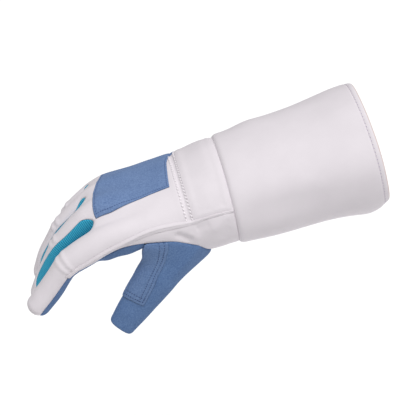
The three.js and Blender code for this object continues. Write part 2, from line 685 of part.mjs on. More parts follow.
const patch = (tag) => sheet(faces.filter((f) => f.tag === tag), SEAM_GAP, SEAM_GAP + SUEDE_WALL);

// A closed ring round the sleeve. profile: [x, distance off the sleeve's surface] round its cross-section,
// from the outer side nearest the wrist towards the open end and back along the inner side.
function sleeveRing(profile) {
  const positions = [];
  const index = [];
  for (let n = 0; n < SLEEVE_COLUMNS; n++)
    for (const [x, out] of profile) {
      const p = sleevePoint(x, (360 * n) / SLEEVE_COLUMNS, out);
      positions.push(p.x, p.y, p.z);
    }
  const at = (n, k) => (n % SLEEVE_COLUMNS) * profile.length + (k % profile.length);
  for (let n = 0; n < SLEEVE_COLUMNS; n++)
    for (let k = 0; k < profile.length; k++) {
      index.push(at(n, k), at(n, k + 1), at(n + 1, k + 1));
      index.push(at(n, k), at(n + 1, k + 1), at(n + 1, k));
    }
  const geometry = new THREE.BufferGeometry();
  geometry.setAttribute("position", new THREE.Float32BufferAttribute(positions, 3));
  geometry.setIndex(index);
  return geometry;
}

function cuff() {
  const end = CUFF_END - BINDING_WIDTH - SEAM_GAP / 2;
  const start = CUFF_START + SEAM_GAP / 2;
  const outer = [0.25, 0.5, 0.75, 1].map((t) => [mix(start + CUFF_ROLL, end, t), 0]);
  const inner = [1, 0.75, 0.5, 0.25, 0].map((t) => [mix(start, end, t), -CUFF_WALL]);
  return sleeveRing([
    [start, -CUFF_WALL / 2],
    [start + CUFF_ROLL * 0.12, CUFF_STEP * 0.55],
    [start + CUFF_ROLL * 0.45, CUFF_STEP],
    [start + CUFF_ROLL, CUFF_STEP * 0.9],
    ...outer,
    ...inner,
  ]);
}

function cuffBinding() {
  const start = CUFF_END - BINDING_WIDTH + SEAM_GAP / 2;
  const proud = BINDING_WALL / 2;
  return sleeveRing([
    [start, -proud / 2],
    [start + proud, proud],
    [CUFF_END - CUFF_WALL / 2, proud],
    [CUFF_END, -CUFF_WALL * 0.3],
    [CUFF_END, -CUFF_WALL * 0.7],
    [CUFF_END - CUFF_WALL / 2, -CUFF_WALL - proud],
    [start + proud, -CUFF_WALL - proud],
    [start, -CUFF_WALL + proud / 2],
  ]);
}

// The raised side seam: a low welt along the seam, from the cuff to the index finger's middle joint.
function sideWelt() {
  const rows = fingerRows(FINGERS[0]).filter((s) => s <= FINGERS[0].bones[0] + SIDE_STRIP_END);
  const line = [];
  for (let row = 0; row < WEB_ROW; row++) line.push(handVertex(row, 0));
  rows.forEach((s, row) => line.push(fingerVertex(0, row, s, "back", 0)));
  const middle = SEAM_GAP + WELT_HEIGHT / 2;
  const points = line.map((v) => vertices[v].clone().addScaledVector(normals[v], middle));
  const positions = [];
  const index = [];
  const sides = 8;
  points.forEach((p, k) => {
    const before = points[Math.max(k - 1, 0)];
    const after = points[Math.min(k + 1, points.length - 1)];
    const along = after.clone().sub(before).normalize();
    const up = normals[line[k]].clone().addScaledVector(along, -normals[line[k]].dot(along)).normalize();
    const over = along.clone().cross(up);
    for (let j = 0; j < sides; j++) {
      const turn = (2 * Math.PI * j) / sides;
      const q = p.clone().addScaledVector(up, (WELT_HEIGHT / 2) * Math.cos(turn));
      q.addScaledVector(over, WELT_HALF_WIDTH * Math.sin(turn));
      positions.push(q.x, q.y, q.z);
    }
  });
  const at = (k, j) => k * sides + (j % sides);
  for (let k = 0; k + 1 < points.length; k++)
    for (let j = 0; j < sides; j++) {
      index.push(at(k, j), at(k, j + 1), at(k + 1, j + 1));
      index.push(at(k, j), at(k + 1, j + 1), at(k + 1, j));
    }
  const end = points.length - 1;
  for (let j = 1; j + 1 < sides; j++) {
    index.push(at(0, 0), at(0, j + 1), at(0, j));
    index.push(at(end, 0), at(end, j), at(end, j + 1));
  }
  const geometry = new THREE.BufferGeometry();
  geometry.setAttribute("position", new THREE.Float32BufferAttribute(positions, 3));
  geometry.setIndex(index);
  return geometry;
}

const glove = new THREE.Group();
function add(name, geometry, color, roughness) {
  geometry.computeVertexNormals();
  const material = new THREE.MeshStandardMaterial({ color, roughness });
  material.name = name;
  const mesh = new THREE.Mesh(geometry, material);
  mesh.name = name;
  glove.add(mesh);
}
const WHITE = 0xe6e0e4;
const BLUE = 0x57709a;
const TURQUOISE = 0x2e9bbd;
const LAVENDER = 0xcdc3d4;
add("cuff", cuff(), WHITE, 0.9);
add("cuff_binding", cuffBinding(), LAVENDER, 0.9);
add("wrist_back", panel("wrist_back", KNIT_WALL), WHITE, 0.9);
add("wrist_band", panel("wrist_band", KNIT_WALL), WHITE, 0.9);
add("back_panel", panel("back_panel", KNIT_WALL), WHITE, 0.9);
add("side_panel", panel("side_panel", KNIT_WALL), WHITE, 0.9);
add("side_welt", sideWelt(), WHITE, 0.9);
add("palm_panel", panel("palm_panel", SUEDE_WALL), BLUE, 0.95);
add("thumb", panel("thumb", SUEDE_WALL), BLUE, 0.95);
for (let i = 0; i < LAST; i++) add(gussetName(i), panel(gussetName(i), MESH_WALL), TURQUOISE, 0.8);
add("back_patch", patch("back_patch"), BLUE, 0.95);
add("thumb_patch", patch("thumb_patch"), BLUE, 0.95);

export default glove;
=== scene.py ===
# %% [markdown]
# # A fencing glove with a long cuff
# The glove is sewn from flat pieces of cloth: white foam-backed knit, blue suede microfibre and turquoise
# ribbed knit. The model follows the maker's way. One skin of quads gives the shape of a relaxed right hand,
# each sewn piece is a part of that skin, and seams, stitches and cloth come after it.
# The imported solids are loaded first. They fix where everything is.

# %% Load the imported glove
import math

import bpy
import numpy as np
from mathutils import Matrix, Vector
from mathutils import noise as noise_field
from mathutils.bvhtree import BVHTree
from mathutils.kdtree import KDTree


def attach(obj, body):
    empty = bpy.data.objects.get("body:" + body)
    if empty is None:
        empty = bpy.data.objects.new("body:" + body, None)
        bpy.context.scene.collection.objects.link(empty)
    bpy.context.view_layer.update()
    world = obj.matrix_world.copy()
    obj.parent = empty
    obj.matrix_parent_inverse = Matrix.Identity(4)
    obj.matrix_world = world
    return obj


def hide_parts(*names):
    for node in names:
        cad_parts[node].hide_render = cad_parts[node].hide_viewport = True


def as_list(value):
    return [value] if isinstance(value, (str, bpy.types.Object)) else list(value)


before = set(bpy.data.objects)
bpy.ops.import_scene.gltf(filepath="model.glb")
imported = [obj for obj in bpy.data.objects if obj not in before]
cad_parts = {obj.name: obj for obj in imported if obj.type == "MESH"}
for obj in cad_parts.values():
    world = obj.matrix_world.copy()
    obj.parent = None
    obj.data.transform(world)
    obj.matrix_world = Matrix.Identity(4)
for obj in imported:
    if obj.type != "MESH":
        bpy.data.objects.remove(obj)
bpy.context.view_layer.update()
MM = 0.001

# %% [markdown]
# ## Camera
# The photograph looks at the thumb side from about 37 degrees above, with the glove turned so that its cuff
# rises to the right. A camera could be turned by hand until the outlines match. Numbers are chosen instead,
# fitted to the outline, because they can be read and changed one by one. A long lens a good metre away gives
# the same mild perspective.

# %% Camera
ELEVATION = math.radians(37)
ROLL = math.radians(17.5)
DISTANCE = 1.1
LOOK_BELOW = 0.011  # how far below the wrist's middle the camera looks
SENSOR_WIDTH = 36  # millimetres
FOCAL_LENGTH, PICTURE_WIDTH = 1250, 416  # pixels
sideways = Vector((1, 0, 0))
upwards = Vector((0, math.sin(ELEVATION), math.cos(ELEVATION)))
towards_camera = Vector((0, -math.cos(ELEVATION), math.sin(ELEVATION)))
right = math.cos(ROLL) * sideways - math.sin(ROLL) * upwards
up = math.sin(ROLL) * sideways + math.cos(ROLL) * upwards
camera_data = bpy.data.cameras.new("photo_camera")
camera_data.sensor_width = SENSOR_WIDTH
camera_data.lens = SENSOR_WIDTH * FOCAL_LENGTH / PICTURE_WIDTH
camera = bpy.data.objects.new("photo_camera", camera_data)
bpy.context.collection.objects.link(camera)
place = -LOOK_BELOW * upwards + DISTANCE * towards_camera
matrix = np.eye(4)
matrix[:3, 0], matrix[:3, 1], matrix[:3, 2], matrix[:3, 3] = right, up, towards_camera, place
camera.matrix_world = matrix.T
bpy.context.scene.camera = camera
print("camera at", tuple(round(v, 3) for v in place), "lens", round(camera_data.lens, 1))

# %% [markdown]
# ## Light
# A glove for sale is photographed in a light tent: soft light from all sides, brightest from above. Several
# area lamps would do that too. One very wide sun lamp is simpler, gives the same soft shade in every fold,
# and has no distance to tune. The floor is white and lies well below the glove, so it lights the underside
# and no shadow edge shows.

# %% Lights and floor
SKY_STRENGTH = 0.2
KEY_STRENGTH, KEY_WIDTH = 3.1, math.radians(40)
KEY_DIRECTION = Vector((0.24, -0.32, 0.92))
FLOOR_HEIGHT, FLOOR_REACH = -0.8, 8
scene = bpy.context.scene
scene.view_settings.view_transform = "Standard"
world = bpy.data.worlds.new("light_tent")
world.use_nodes = True
world.node_tree.nodes["Background"].inputs["Color"].default_value = (1, 1, 1, 1)
world.node_tree.nodes["Background"].inputs["Strength"].default_value = SKY_STRENGTH
scene.world = world
key_data = bpy.data.lights.new("key_lamp", "SUN")
key_data.energy = KEY_STRENGTH
key_data.angle = KEY_WIDTH
key = bpy.data.objects.new("key_lamp", key_data)
key.rotation_euler = KEY_DIRECTION.to_track_quat("Z", "Y").to_euler()
bpy.context.collection.objects.link(key)
floor_mesh = bpy.data.meshes.new("floor")
floor_sides = [(-FLOOR_REACH, -FLOOR_REACH), (FLOOR_REACH, -FLOOR_REACH), (FLOOR_REACH, FLOOR_REACH)]
floor_sides.append((-FLOOR_REACH, FLOOR_REACH))
floor_mesh.from_pydata([(x, y, FLOOR_HEIGHT) for x, y in floor_sides], [], [(0, 1, 2, 3)])
floor = bpy.data.objects.new("floor", floor_mesh)
bpy.context.collection.objects.link(floor)

# %% [markdown]
# ## The cloths
# Each material starts as a Principled shader, matt and with a little sheen, because the loose fibres of real
# cloth catch the light at its edges. Photographs of cloth could be wrapped round the glove instead. Noise in
# Object coordinates is chosen, because such a pattern keeps its real size on every piece and shows no joins.
# One helper adds a node with its settings and its links.

# %% Helpers for materials
def linear(hex_colour):
    parts = [int(hex_colour[k : k + 2], 16) / 255 for k in (0, 2, 4)]
    return (*[c / 12.92 if c <= 0.04045 else ((c + 0.055) / 1.055) ** 2.4 for c in parts], 1.0)


def node(tree, kind, inputs=None, **settings):
    made = tree.nodes.new(kind)
    for key, value in settings.items():
        setattr(made, key, value)
    for key, value in (inputs or {}).items():
        if isinstance(value, bpy.types.NodeSocket):
            tree.links.new(value, made.inputs[key])
        else:
            made.inputs[key].default_value = value
    return made


def cloth(name, roughness, sheen, sheen_tint):
    material = bpy.data.materials.new(name)
    material.use_nodes = True
    tree = material.node_tree
    shader = tree.nodes["Principled BSDF"]
    shader.inputs["Roughness"].default_value = roughness
    shader.inputs["Sheen Weight"].default_value = sheen
    shader.inputs["Sheen Roughness"].default_value = 0.5
    shader.inputs["Sheen Tint"].default_value = linear(sheen_tint)
    shader.inputs["Specular IOR Level"].default_value = 0.25
    return material, tree, shader


def noise(tree, scale_mm, detail=2.0, rough=0.5, vector=None):
    where = vector or node(tree, "ShaderNodeTexCoord").outputs["Object"]
    settings = {"Vector": where, "Scale": 1000 / scale_mm, "Detail": detail, "Roughness": rough}
    return node(tree, "ShaderNodeTexNoise", settings)


def shade(tree, shader, low, high, factor, start=0.0, end=1.0):
    """Colour the shader from low to high as the factor goes from start to end."""
    ramp = node(tree, "ShaderNodeValToRGB", {"Fac": factor})
    for element, colour, position in zip(ramp.color_ramp.elements, (low, high), (start, end)):
        element.color = linear(colour)
        element.position = position
    tree.links.new(ramp.outputs["Color"], shader.inputs["Base Color"])


def raise_by(tree, shader, height, millimetres, strength=1.0):
    settings = {"Height": height, "Strength": strength, "Distance": millimetres * MM}
    tree.links.new(node(tree, "ShaderNodeBump", settings).outputs["Normal"], shader.inputs["Normal"])


print("a middle grey in linear light:", [round(c, 3) for c in linear("808080")[:3]])

# %% [markdown]
# The white cloth is polyester knit on a thin foam, smooth and matt. Its loops could be modelled, but they are
# smaller than a pixel here. So a pattern of small cells tilts the light a little, as loops do, and a broad
# noise varies the white by a shade that can hardly be seen.

# %% White knit
LOOP_SIZE, LOOP_HEIGHT = 0.9, 0.08  # millimetres
white_knit, tree, shader = cloth("white laminated knit", 0.85, 0.08, "FFFFFF")
shade(tree, shader, "D9D3D8", "DCD6DB", noise(tree, 22, 3).outputs["Fac"], 0.35, 0.65)
position = node(tree, "ShaderNodeTexCoord").outputs["Object"]
loops = node(tree, "ShaderNodeTexVoronoi", {"Vector": position, "Scale": 1000 / LOOP_SIZE, "Randomness": 0.6})
raise_by(tree, shader, loops.outputs["Distance"], LOOP_HEIGHT, 0.35)
print(white_knit.name, "loops", LOOP_SIZE, "mm")

# %% [markdown]
# The blue pieces are microfibre suede, whose short fibres lie in many directions. Hair particles could make
# them, at a high price. The eye sees only a fine mottle of lighter and darker fibres, which two noises mix:
# one for the fibres and a broad one for places that a hand has stroked. The palm is a shade darker than the
# patches, and a cut edge is darker still. The thumb's patch is the same suede as the back's, but its colour
# is made darker as painted shade, because the thumb turns away from the light.

# %% Blue suede
FIBRE_SIZE, STROKE_SIZE, NAP_SIZE, NAP_HEIGHT = 1.3, 14, 0.7, 0.15  # millimetres


def suede(name, low, high):
    made, tree, shader = cloth(name, 0.95, 0.3, "9DB2D6")
    fibres = noise(tree, FIBRE_SIZE, 4, 0.65)
    strokes = noise(tree, STROKE_SIZE, 2)
    levels = {"Factor": 0.15, "A": fibres.outputs["Fac"], "B": strokes.outputs["Fac"]}
    mixed = node(tree, "ShaderNodeMix", levels, data_type="FLOAT")
    shade(tree, shader, low, high, mixed.outputs["Result"], 0.3, 0.7)
    raise_by(tree, shader, noise(tree, NAP_SIZE, 2).outputs["Fac"], NAP_HEIGHT, 0.4)
    return made


palm_suede = suede("palm suede microfibre", "46608A", "627DA5")
# Painted shade: this patch's suede is darker than the back patch's only because the thumb faces away from the
# light.
shaded_thumb_patch_suede = suede("thumb patch suede with painted shade", "4F678F", "6D85AB")
back_patch_suede = suede("back patch suede microfibre", "556D97", "778FB7")
cut_edge = suede("cut edge of suede", "33486F", "40577F")
print("suedes:", [m.name for m in bpy.data.materials if "suede" in m.name])

# %% [markdown]
# The strips between the fingers are an elastic knit with fine ribs across them. The ribs have to bend with
# the finger, so their wave follows the strip's own UV map, which is in millimetres, and not Object
# coordinates. The wave raises them, and it also paints shade into the furrows and light onto the crests of
# the one-coloured yarn. Blender's wave repeats every pi / 10 / scale.

# %% Turquoise ribbed knit
RIB_SPACING = 1.6  # millimetres
turquoise_mesh, tree, shader = cloth("ribbed mesh", 0.75, 0.3, "8FE0F5")
strip_map = node(tree, "ShaderNodeUVMap", uv_map="Cloth").outputs["UV"]
wave = {"Vector": strip_map, "Scale": round(math.pi / 10 / RIB_SPACING, 4), "Distortion": 0.4}
ribs = node(tree, "ShaderNodeTexWave", wave, wave_type="BANDS", bands_direction="Y")
# Painted shade and highlight: the furrows are coloured darker and the crests lighter, following the rib wave.
shade(tree, shader, "187A9C", "3CB2D4", ribs.outputs["Fac"])
raise_by(tree, shader, ribs.outputs["Fac"], 0.35, 0.8)
print(turquoise_mesh.name, "ribs", RIB_SPACING, "mm, scale", wave["Scale"])

# %% [markdown]
# The hem is the white knit, turned in and stitched down. Its raw edge shows the tan foam in the last
# millimetre. That edge could be a piece of its own, but it is only a change of colour, so the colour follows
# X in Object coordinates. The threads are spun polyester, each nearly one colour.

# %% Hem and threads
EDGE_START, EDGE_END = 0.1501, 0.1511  # metres along X
hem_tape, tree, shader = cloth("turned hem of knit", 0.85, 0.08, "FFFFFF")
position = node(tree, "ShaderNodeTexCoord").outputs["Object"]
along_x = node(tree, "ShaderNodeSeparateXYZ", {"Vector": position}).outputs["X"]
edge = node(tree, "ShaderNodeMapRange", {"Value": along_x, "From Min": EDGE_START, "From Max": EDGE_END})
shade(tree, shader, "DBD5DA", "CDB9B2", edge.outputs["Result"])
raise_by(tree, shader, noise(tree, 0.8, 2).outputs["Fac"], 0.05, 0.4)


def thread_material(name, low, high):
    made, tree, shader = cloth(name, 0.6, 0.2, "FFFFFF")
    shade(tree, shader, low, high, noise(tree, 2.5, 1).outputs["Fac"])
    return made


navy_thread = thread_material("navy polyester thread", "24385F", "324974")
blue_thread = thread_material("blue polyester thread", "3B5280", "466090")
lavender_thread = thread_material("lavender polyester thread", "A296B4", "B5AAC4")
white_thread = thread_material("white polyester thread", "E4DEE2", "F0EBEF")
print("threads:", [m.name for m in bpy.data.materials if "thread" in m.name])

# %% [markdown]
# The floor is a sheet of matt white paper.

# %% Floor paper
paper = bpy.data.materials.new("pale studio floor")
paper.use_nodes = True
tree = paper.node_tree
shader = tree.nodes["Principled BSDF"]
shade(tree, shader, "FBFBFB", "FFFFFF", noise(tree, 300).outputs["Fac"])
shader.inputs["Roughness"].default_value = 1.0
floor_mesh.materials.append(paper)
print("materials:", len(bpy.data.materials))

# %% [markdown]
# ## The skin of the hand
# A glove has the shape that a relaxed hand gives it. It could be sculpted, or sewn and simulated, but its
# seams would then have to be found on it. Here one skin of quads is drawn from sizes, and its columns are the
# seams. A loop of columns starts at the side seam, crosses the backs of the fingers, goes down the far side
# and comes back over the palms. At the webs it splits into four finger tubes, and a hole under the side strip
# grows the thumb. Quads are chosen because Subdivision Surface then gives smooth cloth and even seams.

# %% Sizes, in millimetres and degrees
FINER = 2  # times as many rows and columns as the solids have
CUFF_START, CUFF_END, CUFF_STEP, BINDING_WIDTH = 19.7, 151.5, 1.6, 5.0
BAND_START, BAND_WIDTH, BAND_DIP, HEEL, PATCH_START = -15.8, 5.4, 0.9, -5.4, -29.0
KNIT_WALL, SUEDE_WALL, MESH_WALL, CUFF_WALL = 2.4, 1.4, 1.2, 3.2
SECTION_POWER = 2.25
# Sections across X: the middle's height, how much the section leans, its half width, its heights over and
# under the middle, and the turns of the side seam and of the white strip's lower edge.
SECTION_NAMES = ("x", "lift", "lean", "wide", "over", "under", "ridge", "edge")
SECTIONS = np.array(
    [
        (-112, 15, 0, 49, 17, 17, 6, -2),
        (-84, 15, 0, 49, 20, 22, 10, -2),
        (-60, 12, 0.04, 49, 23, 27, 15, -10),
        (-36, 6, 0.1, 50, 31, 33, 16, -7),
        (-16, 0.5, 0.02, 51, 38.6, 40, 17, -17),
        (-3, 0, 0.08, 52, 42.2, 40, 17, -56),
        (8, 0, 0.08, 52, 44.0, 40.5, 16, -58),
        (19, 0.5, 0.06, 51.5, 41.8, 41, 15, -60),
        (32, 0, 0.045, 53.5, 45.4, 43.8, 15, -60),
        (50, 0, 0.03, 55, 46, 46, 15, -60),
        (97, 0, 0, 56, 48, 47, 15, -60),
        (134, 0, 0, 58.5, 53, 52, 15, -60),
        (160, 0, 0, 59, 54, 53, 15, -60),
    ]
)
# Each finger's knuckle, the slopes of its phalanges below level, their lengths, its radii at root and tip,
# how far up its thumb side the turquoise strip reaches at the knuckle, and how much farther at the tip.
FINGER_COLUMNS = ("name", "at", "bend", "bones", "root", "tip", "strip")
FINGER_TABLE = [
    ("index", (-88, -38, 16), (18, 43, 39), (42, 31, 29), 12.6, 10.2, (0, 0)),
    ("middle", (-92, -12.5, 27.5), (33, 51, 55), (45, 34, 30), 12.1, 10.5, (55, 26)),
    ("ring", (-90, 12, 24.5), (31, 48, 59), (42, 32, 29), 11.8, 10.6, (88, 8)),
    ("little", (-86, 35, 16.5), (29, 54, 71), (35, 25, 24), 11.0, 9.8, (118, 0)),
]
FINGERS = [dict(zip(FINGER_COLUMNS, row)) for row in FINGER_TABLE]
PALM_SLOPE, WEB, WEB_SLANT, WEB_ROUND, ROOT_LENGTH, ROOT_TAPER = -3.0, 3.0, 21.0, 9.0, 21.0, 40.0
BEND_LENGTHS, SEAM_DROP = (32, 24, 20), 3.5
SIDE_STRIP_ANGLE, SIDE_STRIP_END = 31.0, 8.5
GUSSET_BACK_ANGLE, GUSSET_NEAR_ANGLE, GUSSET_PALM_ANGLE = 58.0, 54.0, 40.0
GUSSET_TAPER, TIP_TURN, PALM_FULLNESS = 18.0, 100.0, 0.28
RIB_HEIGHT, RIB_WIDTH, RIB_PITCH, PALM_PAD = 1.0, 4.6, 5.8, 13.0
THUMB_START, THUMB_TIP = np.array((-62, -44, -36.0)), np.array((-105.5, -50, -72.5))
THUMB_HALF_WIDTH, THUMB_TIP_HALF_WIDTH = 18.0, 11.5
THUMB_HALF_THICKNESS, THUMB_TIP_HALF_THICKNESS, THUMB_BLUNT = 11.0, 6.5, 5.0
THUMB_FACE, THUMB_CORNER, THUMB_ROOT_LIFT = np.array((0, -0.8, 0.6)), 40.0, 0.7
THUMB_ROOT_PULL, THUMB_END_PULL, HAND_FREE = 26.0, 42.0, 0.15
BACK_COLUMNS, PALM_COLUMNS, STRIP_COLUMNS = 5 * FINER, 4 * FINER, 3 * FINER
HAND_ROWS, TIP_ROWS, THUMB_HOLE_COLUMNS, THUMB_HOLE_ROWS = 7 * FINER, 3 * FINER, 5 * FINER, 3 * FINER
THUMB_ROOT_ROWS, THUMB_ROWS = 4 * FINER, 4 * FINER
print("sections:", len(SECTIONS), "fingers:", len(FINGERS))


# %% [markdown]
# The sleeve's sections are squared ellipses, as cloth makes over a wrist: flatter than a circle on each side,
# with round corners. A table of them along X is read between its rows, which is simpler than a lofted curve
# and lets every point be asked for by its place and its turn.

# %% Small tools for points
def mix(a, b, t):
    return a + (b - a) * t


def smooth(t):
    c = min(1.0, max(0.0, t))
    return c * c * (3 - 2 * c)


def unit(v):
    return v / max(1e-9, np.linalg.norm(v))


def section_at(x):
    return {k: float(np.interp(x, SECTIONS[:, 0], SECTIONS[:, n])) for n, k in enumerate(SECTION_NAMES)}


def curve_of(value, power):
    return math.copysign(abs(value) ** power, value)


def sleeve_point(x, turn, out=0.0):
    s = section_at(x)
    c, n = math.cos(math.radians(turn)), math.sin(math.radians(turn))
    height = ((s["over"] if n > 0 else s["under"]) + out) * curve_of(n, 2 / SECTION_POWER)
    across = (s["wide"] + out) * curve_of(c, 2 / SECTION_POWER)
    return np.array((x + s["lean"] * height, -across, s["lift"] + height))


print("wrist, thumb side:", sleeve_point(0, 0).round(1), "back:", sleeve_point(0, 90).round(1))


# %% [markdown]
# A finger bends over a length at each joint, and cloth has no sharp corner there. A rig of bones could bend a
# straight finger. Here each finger's middle line is added up from small steps whose slope changes smoothly
# from one phalanx to the next, so the finger is drawn bent and needs no rig.

# %% The line through each finger
SPINE_START, SPINE_STEP = -170, 0.5
KNUCKLE_STEP = round(-SPINE_START / SPINE_STEP)
STEPS_PAST_KNUCKLE = 60


class Spine:
    def __init__(self, finger):
        self.total = sum(finger["bones"])
        self.joints = (0, finger["bones"][0], finger["bones"][0] + finger["bones"][1])
        self.slopes = (PALM_SLOPE, *finger["bend"])
        self.lengths = np.arange(SPINE_START, self.total + 3, SPINE_STEP)
        slopes = np.array([self.slope(s + SPINE_STEP / 2) for s in self.lengths])
        steps = SPINE_STEP * np.stack([-np.cos(slopes), 0 * slopes, -np.sin(slopes)], 1)
        line = np.vstack([(0, 0, 0), np.cumsum(steps, 0)[:-1]])
        self.line = line - line[KNUCKLE_STEP] + np.array(finger["at"], float)

    def slope(self, s):
        found = self.slopes[0]
        for j, at in enumerate(self.joints):
            found += (self.slopes[j + 1] - self.slopes[j]) * smooth((s - at) / BEND_LENGTHS[j] + 0.5)
        return math.radians(found)

    def centre(self, s):
        return np.array([np.interp(s, self.lengths, self.line[:, a]) for a in range(3)])

    def at_x(self, x):
        behind = self.line[: KNUCKLE_STEP + STEPS_PAST_KNUCKLE]
        return np.array([np.interp(-x, -behind[:, 0], behind[:, a]) for a in range(3)])


for finger in FINGERS:
    finger["spine"] = Spine(finger)
    finger["end"] = finger["spine"].total - finger["tip"]
    print(finger["name"], "tip at", finger["spine"].centre(finger["spine"].total).round(1))


# %% [markdown]
# Round each finger go four bands: the back, the strip on its far side, the palm and the strip on its near
# side. Their edges are angles that change along the finger, because the turquoise strips are wide at the web
# and end in a round point. The two ribs of padding over the middle joint are part of the shape too: a bump
# map would not show in the outline.

# %% Points on a finger
THUMB_SIDE = np.array((0, -1.0, 0))
RIB_FADE = 20  # degrees beside the back's edges
RIB_SPREAD = RIB_WIDTH / 2.6


def finger_point(finger, s, turn, tip=0.0):
    """A point s millimetres past the knuckle. The turn runs from the thumb side over the back, and tip leans
    it on round the fingertip."""
    spine = finger["spine"]
    slope = spine.slope(s)
    along = np.array((-math.cos(slope), 0, -math.sin(slope)))
    back = np.array((-math.sin(slope), 0, math.cos(slope)))
    radius = mix(finger["root"], finger["tip"], smooth((s - ROOT_LENGTH) / ROOT_TAPER))
    c, n = math.cos(math.radians(turn)), math.sin(math.radians(turn))
    side = back * math.cos(math.radians(tip)) + along * math.sin(math.radians(tip))
    sink = SEAM_DROP * math.cos(math.radians(tip)) * n
    palmward = max(0.0, -math.cos(math.radians(tip)) * n)
    full = 1 + PALM_FULLNESS * palmward * smooth((s - finger["bones"][0] - RIB_PITCH) / ROOT_LENGTH)
    reach = (sink + math.sqrt(sink * sink + radius * radius - SEAM_DROP * SEAM_DROP)) * full
    if tip == 0:
        near_up, _, far_up, _ = strip_angles(FINGERS.index(finger), s)
        inside = smooth((turn - near_up) / RIB_FADE) * smooth((180 - far_up - turn) / RIB_FADE)
        for offset in (-RIB_PITCH / 2, RIB_PITCH / 2):
            reach += RIB_HEIGHT * inside * math.exp(-(((s - finger["bones"][0] - offset) / RIB_SPREAD) ** 2))
    return spine.centre(s) - SEAM_DROP * back + THUMB_SIDE * reach * c + side * reach * n


print("a rib spreads over", round(2 * RIB_SPREAD, 1), "mm")

# %% [markdown]
# Rows lie closer at the ribs. A row also slants, because the web between two fingers starts nearer to the
# knuckle on the back than on the palm, and the slant dies out towards the ribs.

# %% Rows and bands of a finger
STRIP_FLARE_START = 0.6  # share of the first phalanx
INDEX_SLANT, LITTLE_SLANT = 0.35, 0.5


def finger_rows(finger):
    joint, wave = finger["bones"][0], RIB_PITCH / 2
    ribs = [joint + k * wave / FINER for k in range(-3 * FINER, 3 * FINER + 1)]
    before = list(np.linspace(WEB, ribs[0], 4 * FINER + 1)[:-1])
    after = list(np.linspace(ribs[-1], finger["end"], 4 * FINER + 1)[1:])
    return before + ribs + after


def strip_angles(i, s):
    """How far the strips reach up and down from the side line: near side up, down, far side up, down."""
    finger = FINGERS[i]
    left = min(1.0, max(0.0, (finger["end"] - s) / GUSSET_TAPER))
    taper = math.sqrt(1 - (1 - left) ** 2)
    joint = finger["bones"][0]
    side = 1 - 0.5 * smooth((s - ROOT_LENGTH) / (joint - ROOT_LENGTH)) if s < joint + SIDE_STRIP_END else 0
    first, last = i == 0, i == len(FINGERS) - 1
    near = mix(finger["strip"][0], GUSSET_NEAR_ANGLE, smooth(s / ROOT_LENGTH))
    near += finger["strip"][1] * smooth(s / joint - STRIP_FLARE_START)
    return (
        0 if first else near * taper,
        SIDE_STRIP_ANGLE * side if first else GUSSET_PALM_ANGLE * taper,
        0 if last else GUSSET_BACK_ANGLE * taper,
        0 if last else GUSSET_PALM_ANGLE * taper,
    )


def slant_share(i, band, t):
    """A row of a finger slants: it starts nearer to the knuckle on the back (0) than on the palm (1)."""
    first, last = i == 0, i == len(FINGERS) - 1
    if band == "near":
        return mix(1 - INDEX_SLANT, INDEX_SLANT, t) if first else 1 - t
    if band == "far":
        return t
    if band == "palm":
        t = 1 - t
    outer = INDEX_SLANT * smooth(1 - 2 * t) if first else LITTLE_SLANT * smooth(2 * t - 1) if last else 0
    return outer if band == "back" else 1 - outer


def slanted(finger, s, share):
    free = finger["bones"][0] - 1.5 * RIB_PITCH
    return s + WEB_SLANT * share * (free - s) / (free - WEB) if s < free else s


def column_turn(i, s, band, share):
    near_up, near_down, far_up, far_down = strip_angles(i, s)
    low, high = {
        "back": (near_up, 180 - far_up),
        "far": (180 - far_up, 180 + far_down),
        "palm": (180 + far_down, 360 - near_down),
        "near": (360 - near_down, 360 + near_up),
    }[band]
    return mix(low, high, share)


print("index seam at the web:", finger_point(FINGERS[0], WEB, 0).round(1))

# %% [markdown]
# Two panels that meet must meet in the same vertices. They could be merged by distance afterwards, which can
# join the wrong ones in a narrow web. So each vertex has a key that says where it is on the hand, and panels
# that ask for the same key share it. A face carries the name of the sewn piece that it belongs to.

# %% The store of vertices and faces
points, point_keys, faces = [], {}, []
LAST = len(FINGERS) - 1
COUNTS = {"back": BACK_COLUMNS, "far": STRIP_COLUMNS, "palm": PALM_COLUMNS, "near": STRIP_COLUMNS}
NEXT = {"back": "far", "far": "palm", "palm": "near", "near": "back"}


def vertex(key, make):
    if key not in point_keys:
        made = make()
        point_keys[key] = len(points)
        points.append(made)
    return point_keys[key]


def face(label, *corners):
    ring = [v for k, v in enumerate(corners) if v != corners[(k + 1) % len(corners)]]
    if len(ring) > 2:
        faces.append((label, ring))


print("columns round a finger:", COUNTS)

# %% [markdown]
# A finger's vertex comes from its row and its place in a band. In the first row, two neighbours share the
# points of the web between them, and beyond it they part over a short, rounded length.

# %% Vertices of a finger
def web_point(i, share):
    a, b = (slanted(FINGERS[j], WEB, share) for j in (i, i + 1))
    this = finger_point(FINGERS[i], a, column_turn(i, a, "far", share))
    other = finger_point(FINGERS[i + 1], b, column_turn(i + 1, b, "near", 1 - share))
    return (this + other) / 2


def gusset_name(i):
    return f"gusset_{FINGERS[i]['name']}_{FINGERS[i + 1]['name']}"


